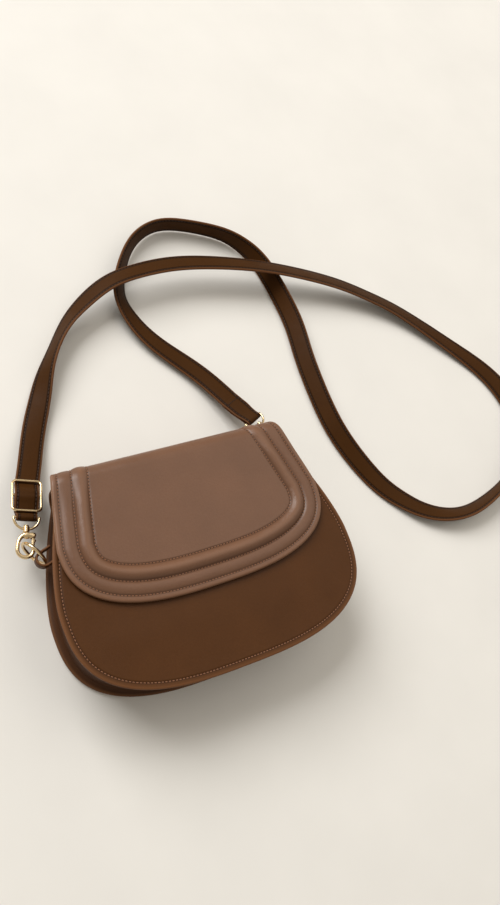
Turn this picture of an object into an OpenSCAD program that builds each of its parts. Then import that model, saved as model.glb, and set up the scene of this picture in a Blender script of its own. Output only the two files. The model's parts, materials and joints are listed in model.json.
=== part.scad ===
/* [Bag body] */
// Width of the front panel at its widest
bag_w = 232; // [200:1:260]
// Height from the rounded bottom to the fold over the top
bag_h = 169; // [150:1:190]
// Depth from the back panel's face to the front panel's face
bag_d = 55; // [46:1:64]
// How far the panels' sides lie inside their widest line at the top fold
top_in = 31; // [24:0.5:40]
// How far the widest line lies below the top fold
wide_drop = 96.7; // [85:0.5:105]
// Thickness of the back and front leather panels
panel_t = 2.2; // [1.6:0.1:3]
// How far the front panel's top edge lies below the top fold
mouth_drop = 17; // [12:0.5:24]
// Radius that rounds a panel's cut edge
edge_round = 0.7; // [0.3:0.1:0.8]

/* [Gusset] */
// Thickness of the gusset leather
gusset_t = 2; // [1.4:0.1:2.6]
// How far the gusset's wall lies inside the panels' edges at the seams
flange_w = 4.5; // [3:0.25:6]
// How much further the wall draws in halfway between the seams
gusset_draw = 2; // [0:0.25:4]
// How far the gusset's top ends lie below the top fold
gusset_drop = 12; // [8:0.5:16]

/* [Flap] */
// How far the flap's sides lie inside the body's widest line, where the flap is widest
flap_side_in = 11.5; // [8:0.5:18]
// How far the flap's hinge line ends inside the ends of the top fold
flap_root_in = 0.4; // [0:0.1:4]
// How far the flap's widest line lies below the top fold
flap_wide_drop = 54.5; // [45:0.5:65]
// How far the flap's tip lies below the top fold
flap_drop = 109.2; // [95:0.2:120]
// Thickness of the flap's outer leather with its foam
flap_t = 2.4; // [1.6:0.1:2.6]
// Height of the flap's face above the front panel
flap_rise = 5; // [4.6:0.1:7]
// Outer radius of the fold over the top
fold_r = 11; // [8:0.5:14]
// How far the fold stands behind the panels' top line
fold_out = 3; // [1:0.25:5]
// Height of the hinge line above the back face
hinge_z = 26; // [20:0.5:30]
// Distance from the flap's edge to the raised ridge
band_w = 14.5; // [11:0.25:18]
// Width of the raised ridge
ridge_w = 12.5; // [9:0.25:15]
// Height of the raised ridge
ridge_h = 3; // [1.5:0.1:4]
// Height of the soft border outside the ridge
band_h = 1; // [0.4:0.1:1.6]
// Thickness of the flap's lining
flap_lining_t = 0.7; // [0.4:0.1:1]

/* [Lining and boards] */
// Thickness of the lining
lining_t = 0.8; // [0.5:0.1:1.2]
// Thickness of the boards that stiffen the panels
board_t = 1.2; // [0.8:0.1:1.6]
// Margin of a board inside its panel's edge
board_margin = 12; // [10:0.5:20]
// Width of the slip pocket
pocket_w = 120; // [90:1:140]
// Height of the slip pocket
pocket_h = 68; // [50:1:80]
// Length of the zip in the back lining
zip_l = 120; // [90:1:130]
// Width of the zip's tape
zip_w = 16; // [12:0.5:20]

/* [Magnetic snap] */
// Outer radius of the snap
snap_r = 7; // [5:0.25:9]
// Height of the snap's socket on the front panel
snap_h = 1.3; // [1:0.1:1.4]
// Radius of the well in the socket
snap_well_r = 3; // [2.6:0.1:4]

/* [Strap] */
// Width of the strap
strap_w = 18; // [14:0.5:22]
// Thickness of the strap
strap_t = 2.6; // [1.8:0.1:3.4]
// Thickness of the strap's pared ends, which fold round the fittings
end_t = 1.6; // [1.2:0.1:2]

/* [Metal fittings] */
// Wire radius of the slider's frame
slider_wire_r = 1; // [0.8:0.05:1.3]
// Length of the slider along the strap
slider_l = 28; // [24:0.5:32]
// Wire radius of the half-round eyes
eye_wire_r = 0.95; // [0.8:0.05:1.2]
// Wire radius of the snap hooks
hook_wire_r = 1.4; // [1.1:0.05:1.7]
// Length of a snap hook below its swivel
hook_l = 20; // [18:0.5:24]
// Outer width of a snap hook
hook_w = 14; // [12:0.5:17]
// Wire radius of the side rings
ring_wire_r = 1.3; // [1.1:0.05:1.6]
// Radius of the side rings, to the middle of the wire
ring_r = 10.2; // [9.6:0.1:11]
// Radius of the swivel's pin
swivel_pin_r = 1.2; // [0.9:0.05:1.4]
// Gap between a pin and its hole, all round
pin_gap = 0.06; // [0.04:0.01:0.1]

/* [Side tabs] */
// Height of the left tab above the middle of the bag
tab_left_y = 36; // [32:0.5:42]
// Height of the right tab above the middle of the bag
tab_right_y = 63.5; // [56:0.5:66]
// Height above the back face at which the rings pass through their tabs
ring_z = 26.5; // [24:0.5:30]
// Outer radius of a tab's loop
tab_r = 6.2; // [5.4:0.1:7]
// Thickness of a tab's leather
tab_t = 1.9; // [1.4:0.1:2.4]
// Width of a tab
tab_w = 8; // [6:0.5:10]

/* [Hidden] */

// Running gap between soft layers that move apart
soft_gap = 0.3;
// How far a cutting shape runs past what it cuts
over = 1;
// Degrees in one radian
deg = 180 / PI;
// Steps round a wire and round a pin
wire_n = 28;
pin_n = 36;

// Lines of the body
top_half_w = bag_w / 2 - top_in;
top_y = bag_h / 2;
bottom_y = -bag_h / 2;
wide_y = top_y - wide_drop;
mouth_y = top_y - mouth_drop;
gusset_y = top_y - gusset_drop;
side_power = 1.53;
corner_power = 2.85;
// Size of the back panel as a share of the front panel
back_share = 0.97;
side_n = 9;
corner_n = 13;
line_n = side_n + corner_n;

// Height of the flap's face and the parts of its path from the hinge to the tip
face_z = bag_d + flap_rise;
flap_half_w = bag_w / 2 - flap_side_in;
flap_root_half_w = top_half_w - flap_root_in;
fold_y = top_y + fold_out;
fold_cy = fold_y - fold_r;
fold_cz = face_z - fold_r;
wall_l = fold_cz - hinge_z;
arc_l = fold_r * PI / 2;
flap_wide_s = wall_l + arc_l + fold_cy - (top_y - flap_wide_drop);
flap_tip_s = wall_l + arc_l + fold_cy - (top_y - flap_drop);
flap_power = 1.1;
flap_corner_power = 2.68;
hinge_gap = 0.4;
// The border and ridge rise over this length above the hinge line to this share of their height, which they keep
// round the fold, and over this length of the front they rise to the whole
ridge_fade = 14;
fold_share = 0.4;
ridge_grow = 20;
// Shares of the border and ridge widths, and of their heights, from the flap's edge inward
band_shares = [[0, -0.5], [0.08, 0.1], [0.25, 0.25], [0.6, 1], [0.96, 0]];
ridge_shares = [[0.18, 0.62], [0.5, 1], [0.82, 0.62], [1.02, 0]];

// Layers behind the back panel and the front panel
back_board_z = panel_t;
pouch_z = back_board_z + board_t;
pouch_t = 1;
back_lining_z = pouch_z + pouch_t;
zip_z = back_lining_z + lining_t;
front_panel_z = bag_d - panel_t;
front_board_z = front_panel_z - board_t;
front_lining_z = front_board_z - lining_t;
pocket_gap = 1.2;
pocket_hem = 3;
pocket_y = -18;
pouch_w = zip_l + 14;
pouch_h = 84;
pouch_y = -36;

// The zip
zip_y = 40;
tape_t = 0.6;
zip_slot = 3.4;
tooth_t = 1.3;
tooth_w = 1.1;
tooth_l = 1.5;
tooth_pitch = 2.6;
bead_w = 0.8;
zip_end = 7;
teeth_z = zip_z + tape_t;
zip_body_l = 9;
zip_body_w = 8;
zip_body_h = 1.6;
zip_lug_h = 3;
zip_lug_t = 2.4;
zip_lug_l = 3.6;
zip_pin_r = 0.7;
pull_l = 24;
pull_w = 6.4;
pull_t = 1.3;
pull_fork = 6;
pull_lean = 6;
zip_start_x = -zip_l / 2 + zip_end + zip_body_l / 2 + soft_gap;

// The magnetic snap
snap_y = 4;
snap_plate_t = 0.6;
stud_r = 2.1;
snap_air = 0.3;
washer_t = 0.8;

// Slider, eyes, hooks and gates, each in its own frame with +Y up the strap
// The slider's place: how far inside the left tab's edge, above that tab and above the back face
slider_in = 1.65;
slider_up = 50;
slider_z = 21.7;
slider_at = [slider_in - side_half_w(tab_left_y), tab_left_y + slider_up, slider_z];
slider_turn = -19;
slider_pitch = -14;
slider_half_w = strap_w / 2 + soft_gap + slider_wire_r;
slider_corner_r = 3.4;
left_eye_turn = slider_turn;
left_eye_pitch = 0;
// The right eye's place: how far outside the right tab's edge, above that tab and above the back face
right_eye_out = 1.1;
right_eye_up = 40;
right_eye_z = 18;
right_eye_at = [side_half_w(tab_right_y) + right_eye_out, tab_right_y + right_eye_up, right_eye_z];
right_end_turn = 23.6;
right_end_pitch = -14.8;
right_eye_turn = right_end_turn;
right_eye_pitch = -18;
eye_side_in = 0.9;
eye_in_half_w = strap_w / 2 - eye_side_in;
eye_r = eye_in_half_w + eye_wire_r;
boss_r = 2.4;
boss_l = 3.8;
boss_end = eye_r + boss_l / 2;
pin_head_t = 1;
pin_head_r = 1.9;
collar_gap = 0.3;
knuckle_y = boss_end + collar_gap;
knuckle_h = 4.4;
knuckle_w = 4.8;
hook_arc_r = hook_w / 2 - hook_wire_r;
hook_arc_y = knuckle_y - collar_gap + hook_l - hook_w / 2;
shoulder_r = 3.6;
gate_x = hook_arc_r - 0.3 * hook_wire_r;
gate_y = knuckle_y + knuckle_h / 2;
gate_w = 2.3;
gate_t = 2.2;
gate_head_r = 1.6;
gate_pin_r = 0.6;
gate_gap = 0.15;
cheek_t = 0.4;
nose_l = 1.2;
nose_air = 0.35;
nose_y = hook_arc_y - nose_l;
gate_end = nose_y - hook_wire_r - nose_air;
thumb_r = 1.1;
eye_air = 1.4;
eye_reach = slider_l / 2 + slider_wire_r + end_t + eye_wire_r + eye_air;
loop_gap = 0.3;
loop_in = 0.65;
loop_w = 2 * (eye_in_half_w - loop_in);
seam_l = 27;

// The rings hang between their tab and their hook, at this distance down the chain from the eye's bar
left_catch_gap = 2.5;
right_catch_gap = 0.95;
left_catch = knuckle_y + knuckle_h + ring_wire_r + left_catch_gap;
right_catch = knuckle_y - collar_gap + hook_l - 2 * hook_wire_r - ring_wire_r - right_catch_gap;
tab_out = 1.8;
// Height of the wire above the middle of the tab that it passes through and hangs on
left_lift = 2.5;
right_lift = 1.7;
tab_gap = 0.35;

// Route of the strap's middle line: x, y, z and the lean of its width. It starts at offsets from the slider and
// ends at offsets from the right eye, and between them it lies in loops beside the bag
route_start = [[2.8, 7.5, -5, 0], [10.8, 23.5, -11, 0], [22.8, 51.5, -17, 0]];
route_loops = [
  [-67, 164, 5, -22], [-55, 188, 9, -52],
  [-42, 206, 10, -66], [-27, 224, 12, -54], [-12, 235, 15, -38], [7, 246, 19, -29], [28, 253, 22, -22],
  [86, 257, 22, -17], [162, 242, 21, -24], [229, 219, 15, -24], [264, 201, 10, -24], [297, 178, 6, -21],
  [342, 129, 3, -7], [361, 104, 3, 7], [371, 79, 5, 20], [372, 50, 8, 45], [361, 22, 10, 72],
  [338, -2, 10, 80], [312, -15, 10, 70], [269, -26, 8, 47], [233, -16, 5, 20], [211, 5, 2, 3],
  [194, 27, 3, -11], [175, 81, 6, -30], [174, 150, 7, -35], [179, 190, 7, -35], [171, 250, 9, -58],
  [157, 275, 10, -80], [142, 289, 10, -90], [93, 306, 10, -90], [70, 301, 10, -79], [51, 288, 10, -69],
  [29, 252, 8, -51], [28, 230, 6, -31], [41, 198, 4, -13]];
route_end = [[-23.8, 54.8, -13, -1], [-8.9, 20.5, -5.9, 0]];
function offset_from(at, v) = [at[0] + v[0], at[1] + v[1], at[2] + v[2], v[3]];
route = concat([for (v = route_start) offset_from(slider_at, v)], route_loops,
  [for (v = route_end) offset_from(right_eye_at, v)]);
strap_rings = 78;
strap_chamfer = 0.7;

function reverse(v) = [for (i = [len(v) - 1 : -1 : 0]) v[i]];
function flat(v) = [for (a = v) for (b = a) b];
function unit(v) = v / norm(v);
function mix(a, b, t) = a + (b - a) * t;

// A closed solid through rings of points, each as long as the next, capped at both ends by these faces of a ring
module loft(rings, cap = []) {
  n = len(rings[0]);
  last_ring = (len(rings) - 1) * n;
  sides = [for (i = [0 : len(rings) - 2]) for (j = [0 : n - 1]) let (k = (j + 1) % n, a = i * n, b = (i + 1) * n)
    each [[a + j, b + j, b + k], [a + j, b + k, a + k]]];
  low = len(cap) > 0 ? cap : [[for (j = [0 : n - 1]) j]];
  high = [for (f = low) reverse([for (j = f) last_ring + j])];
  polyhedron(flat(rings), concat(low, sides, high));
}

// Outline of a panel: k runs from -line_n at the left top, through 0 at the bottom, to line_n at the right top
function side_half_w(y) = bag_w / 2 - (bag_w / 2 - top_half_w)
  * pow(max(0, (y - wide_y) / (top_y - wide_y)), side_power);
function outline_half(a, y0) = a > corner_n
  ? let (y = mix(wide_y, y0, (a - corner_n) / side_n)) [side_half_w(y), y]
  : let (t = 90 * a / corner_n)
    [bag_w / 2 * pow(sin(t), 2 / corner_power),
     wide_y - (wide_y - bottom_y) * pow(cos(t), 2 / corner_power)];
function outline_at(k, y0) = let (p = outline_half(abs(k), y0)) k < 0 ? [-p[0], p[1]] : p;
function inward(k, y0) = let (d = unit(outline_at(k + 0.4, y0) - outline_at(k - 0.4, y0))) [-d[1], d[0]];
function panel_line(inset, share, y0) = [for (k = [-line_n : line_n])
  let (p = outline_at(k, y0) + inset * inward(k, y0)) share * p];
function at_z(line, z) = [for (p = line) [p[0], p[1], z]];
function depth_share(z) = mix(back_share, 1, z / bag_d);

// A flat panel between two heights, its edge rounded and set in from the body's outline
module panel_plate(z, t, inset, y0) {
  r = min(edge_round, t / 2);
  s = depth_share(z + t / 2);
  levels = [[0, r], [r, 0], [t - r, 0], [t, r]];
  loft([for (v = levels) at_z(panel_line(inset + v[1], s, y0), z + v[0])]);
}

// A U-shaped wall that follows the outline, as levels of height, inset and thickness
module u_wall(levels, y0) {
  n = 2 * (2 * line_n + 1);
  strips = [for (j = [0 : 2 * line_n - 1]) [j, j + 1, n - 2 - j, n - 1 - j]];
  loft([for (v = levels) let (s = depth_share(v[0]))
    at_z(concat(panel_line(v[1], s, y0), reverse(panel_line(v[1] + v[2], s, y0))), v[0])], strips);
}

// The back panel, whose top turns up behind the mouth as far as the flap's hinge line
module back_panel() {
  turn_n = 8;
  plate_y = (fold_cy + soft_gap) / depth_share(panel_t / 2);
  half0 = side_half_w(plate_y) * depth_share(panel_t / 2);
  turn = [for (i = [0 : turn_n]) let (a = 90 * i / turn_n)
    [fold_cy + fold_r * sin(a), fold_r - fold_r * cos(a), a]];
  stations = concat(turn, [[fold_y, hinge_z - hinge_gap, 90]]);
  count = len(stations) - 1;
  color("saddlebrown") union() {
    panel_plate(0, panel_t, 0, plate_y);
    loft([for (i = [0 : count]) let (p = stations[i], w = mix(half0, flap_root_half_w, i / count),
      n = [0, -sin(p[2]), cos(p[2])], o = [0, p[0], p[1]], c = o + panel_t * n)
      [c - [w, 0, 0], c + [w, 0, 0], o + [w, 0, 0], o - [w, 0, 0]]]);
  }
}

module front_panel() {
  color("saddlebrown") panel_plate(front_panel_z, panel_t, 0, mouth_y);
}

// The gusset: a wall drawn in between two flanges that are sewn to the panels' edges
module gusset() {
  lip = 0.2;
  flange_t = gusset_t * 0.6;
  rise = flange_w * 0.45;
  low = panel_t;
  high = front_panel_z;
  mid = (low + high) / 2;
  band = flange_w - lip + gusset_t;
  color("sienna") u_wall([
    [low, lip, band],
    [low + flange_t, lip, band],
    [low + flange_t + rise, flange_w, gusset_t],
    [mix(low, mid, 0.5), flange_w + 0.75 * gusset_draw, gusset_t],
    [mid, flange_w + gusset_draw, gusset_t],
    [mix(mid, high, 0.5), flange_w + 0.75 * gusset_draw, gusset_t],
    [high - flange_t - rise, flange_w, gusset_t],
    [high - flange_t, lip, band],
    [high, lip, band]], gusset_y);
}

module gusset_lining() {
  inset = flange_w + gusset_draw + gusset_t + soft_gap;
  low = zip_z + soft_gap;
  high = front_lining_z - soft_gap;
  color("tan") u_wall([[low, inset, lining_t], [high, inset, lining_t]], gusset_y - soft_gap);
}

lining_margin = flange_w + gusset_t + soft_gap;

module back_board() {
  color("gray") panel_plate(back_board_z, board_t, board_margin, mouth_y);
}

module front_board() {
  color("gray") difference() {
    panel_plate(front_board_z, board_t, board_margin, mouth_y - board_margin / 2);
    translate([0, snap_y, front_board_z - over]) cylinder(r = snap_r + snap_air, h = board_t + 2 * over, $fn = pin_n);
  }
}

// The back lining, with the zip's slot through it
module back_lining() {
  color("tan") difference() {
    panel_plate(back_lining_z, lining_t, lining_margin, mouth_y);
    zip_slot_cut(back_lining_z - over, lining_t + 2 * over);
  }
}

module front_lining() {
  color("tan") panel_plate(front_lining_z, lining_t, lining_margin, mouth_y);
}

module zip_slot_cut(z, h) {
  translate([-zip_l / 2 + zip_end, zip_y - zip_slot / 2, z]) cube([zip_l - 2 * zip_end, zip_slot, h]);
}

// The pouch behind the zip
module zip_pouch() {
  color("tan") translate([-pouch_w / 2, pouch_y, pouch_z]) cube([pouch_w, pouch_h, pouch_t]);
}

// The open pocket on the front lining, sewn down on three sides
module slip_pocket() {
  front_z = front_lining_z - pocket_gap;
  color("tan") translate([-pocket_w / 2, pocket_y - pocket_h / 2, front_z - lining_t]) difference() {
    cube([pocket_w, pocket_h, lining_t + pocket_gap]);
    translate([pocket_hem, pocket_hem, lining_t]) cube([pocket_w - 2 * pocket_hem, pocket_h, pocket_gap + over]);
  }
}

module zip_tape() {
  color("dimgray") difference() {
    translate([-zip_l / 2, zip_y - zip_w / 2, zip_z]) cube([zip_l, zip_w, tape_t]);
    zip_slot_cut(zip_z - over, tape_t + 2 * over);
  }
}

// Two rows of teeth, each on its bead, interlocked along the middle of the slot
module zip_teeth() {
  row_l = zip_l - 2 * zip_end;
  count = floor((row_l - tooth_l) / tooth_pitch);
  past_middle = tooth_l / 3;
  tooth_d = past_middle + (zip_slot + bead_w) / 2;
  color("goldenrod") for (side = [-1, 1]) {
    bead_y = zip_y + side * (zip_slot + bead_w) / 2;
    half_step = side > 0 ? tooth_pitch / 2 : 0;
    translate([-row_l / 2, bead_y - bead_w / 2, teeth_z]) cube([row_l, bead_w, tooth_t]);
    for (i = [0 : count - 1])
      translate([-row_l / 2 + tooth_pitch * i + half_step, min(bead_y, zip_y - side * past_middle), teeth_z])
        cube([tooth_w, tooth_d, tooth_t]);
  }
}

// The zip's slider: a saddle over the teeth, with the lug that carries the pull
module zip_slider() {
  slot_w = zip_slot + 2 * bead_w + 2 * soft_gap;
  slot_h = tooth_t + soft_gap;
  low = teeth_z + soft_gap / 2;
  top = teeth_z + slot_h + zip_body_h;
  color("goldenrod") translate([zip_start_x, zip_y, 0]) difference() {
    union() {
      translate([-zip_body_l / 2, -zip_body_w / 2, low]) cube([zip_body_l, zip_body_w, top - low]);
      translate([-zip_lug_l / 2, -zip_lug_t / 2, top]) cube([zip_lug_l, zip_lug_t, zip_lug_h]);
    }
    translate([-zip_body_l / 2 - over, -slot_w / 2, low - over])
      cube([zip_body_l + 2 * over, slot_w, slot_h + over - soft_gap / 2]);
    translate([0, 0, top + zip_lug_h / 2]) rotate([90, 0, 0])
      cylinder(r = zip_pin_r + pin_gap, h = zip_lug_t + 2 * over, center = true, $fn = pin_n);
  }
}

// The pull: a fork on a pin through the slider's lug, and a long tongue with a hole
module zip_pull() {
  pin_z = teeth_z + tooth_t + soft_gap + zip_body_h + zip_lug_h / 2;
  fork_in = zip_lug_t + 2 * soft_gap;
  color("goldenrod") translate([zip_start_x, zip_y, pin_z]) rotate([0, pull_lean, 0]) {
    rotate([90, 0, 0]) cylinder(r = zip_pin_r, h = fork_in + pull_t, center = true, $fn = pin_n);
    difference() {
      union() {
        translate([-pull_fork / 5, -pull_w / 2, -pull_t / 2]) cube([pull_l - pull_w / 2, pull_w, pull_t]);
        translate([pull_l - pull_w / 2 - pull_fork / 4, 0, -pull_t / 2]) cylinder(d = pull_w, h = pull_t, $fn = pin_n);
      }
      translate([-pull_fork, -fork_in / 2, -pull_t]) cube([2 * pull_fork - pull_fork / 2, fork_in, 2 * pull_t]);
      translate([pull_l - pull_w / 2 - pull_fork / 4, 0, -pull_t]) cylinder(d = pull_w / 2, h = 2 * pull_t, $fn = pin_n);
    }
  }
}

// The snap's socket, a disc with a well for the stud
module snap_socket() {
  color("goldenrod") translate([0, snap_y, bag_d]) difference() {
    rotate_extrude($fn = pin_n) polygon([[0, 0], [snap_r, 0], [snap_r, snap_h * 0.6],
      [snap_r - snap_h * 0.4, snap_h], [0, snap_h]]);
    translate([0, 0, snap_h * 0.1]) cylinder(r = snap_well_r, h = snap_h + over, $fn = pin_n);
  }
}

module snap_washer() {
  color("silver") translate([0, snap_y, front_panel_z - washer_t]) cylinder(r = snap_r, h = washer_t, $fn = pin_n);
}

flap_under_z = face_z - flap_t - soft_gap - flap_lining_t;

// The snap's stud, set in the flap's lining, with a nub that drops into the well
module snap_stud() {
  nub = flap_under_z - bag_d - snap_h * 0.1 - snap_air;
  color("goldenrod") translate([0, snap_y, flap_under_z]) {
    cylinder(r = snap_r - snap_air, h = snap_plate_t, $fn = pin_n);
    translate([0, 0, -nub]) cylinder(r = stud_r, h = nub + snap_plate_t / 2, $fn = pin_n);
  }
}

// Stations along the flap's side, denser round the fold
flap_wall_n = 2;
flap_arc_n = 5;
flap_front_n = 5;
flap_side_n = flap_wall_n + flap_arc_n + flap_front_n;
flap_corner_n = 12;
flap_n = flap_side_n + flap_corner_n;
flap_s = concat(
  [for (i = [0 : flap_wall_n - 1]) wall_l * i / flap_wall_n],
  [for (i = [0 : flap_arc_n - 1]) wall_l + arc_l * i / flap_arc_n],
  [for (i = [0 : flap_front_n]) mix(wall_l + arc_l, flap_wide_s, i / flap_front_n)]);
function station(j) = let (i = min(max(floor(j), 0), flap_side_n - 1)) mix(flap_s[i], flap_s[i + 1], j - i);

// Outline of the flap laid flat: x, and s from the hinge line to the tip; k is 0 at the tip
function flap_edge_w(s) = flap_half_w - (flap_half_w - flap_root_half_w)
  * pow(max(0, 1 - s / flap_wide_s), flap_power);
function flap_half(a) = a > flap_corner_n
  ? let (s = station(flap_n - a)) [flap_edge_w(s), s]
  : let (t = 90 * a / flap_corner_n)
    [flap_half_w * pow(sin(t), 2 / flap_corner_power),
     flap_wide_s + (flap_tip_s - flap_wide_s) * pow(cos(t), 2 / flap_corner_power)];
function flap_at(k) = let (p = flap_half(abs(k))) k < 0 ? [-p[0], p[1]] : p;
function flap_in(k) = abs(k) >= flap_n ? [k < 0 ? 1 : -1, 0]
  : let (d = unit(flap_at(k + 0.4) - flap_at(k - 0.4))) [d[1], -d[0]];
// Bends a flat point and a height over the leather onto the wall, the fold and the front
function bend(x, s, h) = s < wall_l ? [x, fold_y + h, hinge_z + s]
  : s < wall_l + arc_l ? let (a = (s - wall_l) / fold_r * deg)
      [x, fold_cy + (fold_r + h) * cos(a), fold_cz + (fold_r + h) * sin(a)]
  : [x, fold_cy - (s - wall_l - arc_l), face_z + h];
function relief(s) = s < ridge_fade ? fold_share * s / ridge_fade
  : mix(fold_share, 1, min(1, max(0, (s - wall_l - arc_l) / ridge_grow)));
function flap_line(inset, h) = [for (k = [-flap_n : flap_n])
  let (p = flap_at(k) + inset * flap_in(k)) bend(p[0], p[1], h > 0 ? h * relief(p[1]) : h)];

// A curved sheet between upper lines and two lower lines, each from the edge inward, closed down the middle
module flap_sheet(upper, lower) {
  n = 2 * flap_n + 1;
  up_n = len(upper);
  low_n = len(lower);
  function strip(a, b) = [for (k = [0 : n - 2])
    each [[a + k, b + k, b + k + 1], [a + k, b + k + 1, a + k + 1]]];
  function middle(a) = [for (k = [0 : flap_n - 1])
    each k == flap_n - 1 ? [[a + k, a + n - 1 - k, a + k + 1]]
      : [[a + k, a + n - 1 - k, a + k + 1], [a + k + 1, a + n - 1 - k, a + n - 2 - k]]];
  function turned(f) = [for (t = f) reverse(t)];
  low0 = up_n * n;
  top = concat([for (i = [0 : up_n - 2]) each strip(i * n, (i + 1) * n)], middle((up_n - 1) * n));
  under = concat([for (i = [0 : low_n - 2]) each strip(low0 + i * n, low0 + (i + 1) * n)],
    middle(low0 + (low_n - 1) * n));
  rim = strip(low0, 0);
  low1 = low0 + (low_n - 1) * n;
  up1 = (up_n - 1) * n;
  root = concat([for (i = [0 : up_n - 2]) each [[(i + 1) * n, i * n, low1],
      [i * n + n - 1, (i + 1) * n + n - 1, low1 + n - 1]]],
    [[0, low0, low1], [up1 + n - 1, up1, low1], [up1 + n - 1, low1, low1 + n - 1],
     [low1 + n - 1, low0 + n - 1, n - 1]]);
  polyhedron(flat(concat(upper, lower)), concat(top, turned(under), rim, root));
}

window_inset = band_w + ridge_w * 1.02;

// The flap's leather, with a soft border and a padded ridge round a flat window
module flap() {
  band = [for (v = band_shares) flap_line(v[0] * band_w, v[1] * band_h)];
  ridge = [for (v = ridge_shares) flap_line(band_w + v[0] * ridge_w, v[1] * ridge_h)];
  color("sienna") flap_sheet(concat(band, ridge), [flap_line(0, -flap_t), flap_line(window_inset, -flap_t)]);
}

module flap_lining() {
  inset = 1.5 * edge_round;
  high = -flap_t - soft_gap;
  color("tan") difference() {
    flap_sheet([flap_line(inset, high), flap_line(window_inset, high)],
      [flap_line(inset, high - flap_lining_t), flap_line(window_inset, high - flap_lining_t)]);
    translate([0, snap_y, flap_under_z - over]) cylinder(r = snap_r, h = flap_lining_t + 2 * over, $fn = pin_n);
  }
}

// Places a fitting drawn with +Y up the strap
module place(at, turn, pitch) {
  translate(at) rotate([0, 0, turn]) rotate([pitch, 0, 0]) children();
}
// The point at a distance down the chain, towards -Y of a placed fitting
function down(at, turn, pitch, l) = at + l * [sin(turn) * cos(pitch), -cos(turn) * cos(pitch), -sin(pitch)];
left_eye_at = down(slider_at, slider_turn, slider_pitch, eye_reach);

module wire(a, b, r) {
  d = b - a;
  translate(a) rotate([0, acos(d[2] / norm(d)), atan2(d[1], d[0])]) cylinder(r = r, h = norm(d), $fn = wire_n);
}

// A quarter or half ring of wire in the XY plane, from one angle over a sweep
module wire_arc(r, wire_r, from, sweep) {
  rotate([0, 0, from]) rotate_extrude(angle = sweep, $fn = pin_n) translate([r, 0]) circle(r = wire_r, $fn = wire_n);
}

// The adjuster: a rounded wire frame and its middle bar
module slider() {
  x = slider_half_w;
  y = slider_l / 2 - slider_wire_r;
  r = slider_corner_r;
  color("gold") place(slider_at, slider_turn, slider_pitch) union() {
    for (side = [-1, 1]) {
      wire([-x + r, side * y, 0], [x - r, side * y, 0], slider_wire_r);
      wire([side * x, -y + r, 0], [side * x, y - r, 0], slider_wire_r);
    }
    for (i = [0 : 3])
      translate([(i == 0 || i == 3 ? 1 : -1) * (x - r), (i < 2 ? 1 : -1) * (y - r), 0])
        wire_arc(r, slider_wire_r, 90 * i, 90);
    wire([-x, 0, 0], [x, 0, 0], slider_wire_r);
  }
}

// A half-round eye with the swivel's boss at the middle of its bow; the origin is the middle of its bar
module eye() {
  difference() {
    union() {
      wire([-eye_r, 0, 0], [eye_r, 0, 0], eye_wire_r);
      for (side = [-1, 1]) translate([side * eye_r, 0, 0]) sphere(r = eye_wire_r, $fn = wire_n);
      wire_arc(eye_r, eye_wire_r, 180, 180);
      translate([0, -eye_r, 0]) rotate([90, 0, 0]) cylinder(r = boss_r, h = boss_l, center = true, $fn = pin_n);
    }
    translate([0, -eye_r, 0]) rotate([90, 0, 0])
      cylinder(r = swivel_pin_r + pin_gap, h = boss_l + 2 * over, center = true, $fn = pin_n);
  }
}

// A snap hook on its swivel pin: the knuckle with its slot, the spine, the bow and the nose
module hook() {
  pin_top = boss_end - boss_l - collar_gap;
  knuckle_x = gate_x + gate_head_r + cheek_t;
  spine_x = -hook_arc_r;
  low = knuckle_y + knuckle_h;
  difference() {
    union() {
      translate([0, -knuckle_y - knuckle_h / 4, 0]) rotate([-90, 0, 0])
        cylinder(r = swivel_pin_r, h = knuckle_y + knuckle_h / 4 - pin_top + pin_head_t / 2, $fn = pin_n);
      translate([0, -pin_top, 0]) rotate([-90, 0, 0]) cylinder(r = pin_head_r, h = pin_head_t, $fn = pin_n);
      translate([spine_x + shoulder_r, -low, -knuckle_w / 2])
        cube([knuckle_x - spine_x - shoulder_r, knuckle_h, knuckle_w]);
      translate([spine_x + shoulder_r, -low - shoulder_r + hook_wire_r, 0])
        wire_arc(shoulder_r, hook_wire_r, 90, 90);
      wire([spine_x, -low - shoulder_r + hook_wire_r, 0], [spine_x, -hook_arc_y, 0], hook_wire_r);
      translate([0, -hook_arc_y, 0]) wire_arc(hook_arc_r, hook_wire_r, 180, 180);
      wire([hook_arc_r, -hook_arc_y, 0], [hook_arc_r, -nose_y, 0], hook_wire_r);
      translate([hook_arc_r, -nose_y, 0]) sphere(r = hook_wire_r, $fn = wire_n);
    }
    translate([gate_x - gate_head_r - soft_gap, -low - over, -gate_t / 2 - gate_gap])
      cube([2 * gate_head_r + 2 * over, knuckle_h + 2 * over, gate_t + 2 * gate_gap]);
    translate([gate_x, -gate_y, 0]) cylinder(r = gate_pin_r, h = knuckle_w + 2 * over, center = true, $fn = pin_n);
  }
}

// The sprung gate, with its thumb nub, in the hook's frame
module gate() {
  difference() {
    union() {
      translate([gate_x, -gate_y, 0]) cylinder(r = gate_head_r, h = gate_t, center = true, $fn = pin_n);
      translate([gate_x - gate_w / 2, -gate_end, -gate_t / 2]) cube([gate_w, gate_end - gate_y, gate_t]);
      translate([gate_x + gate_w / 2, -mix(gate_y, gate_end, 0.5), 0])
        cylinder(r = thumb_r, h = gate_t, center = true, $fn = wire_n);
    }
    translate([gate_x, -gate_y, 0]) cylinder(r = gate_pin_r + pin_gap, h = gate_t + 2 * over, center = true, $fn = pin_n);
  }
}

module gate_pin() {
  translate([gate_x, -gate_y, 0]) cylinder(r = gate_pin_r, h = knuckle_w, center = true, $fn = pin_n);
}

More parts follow.
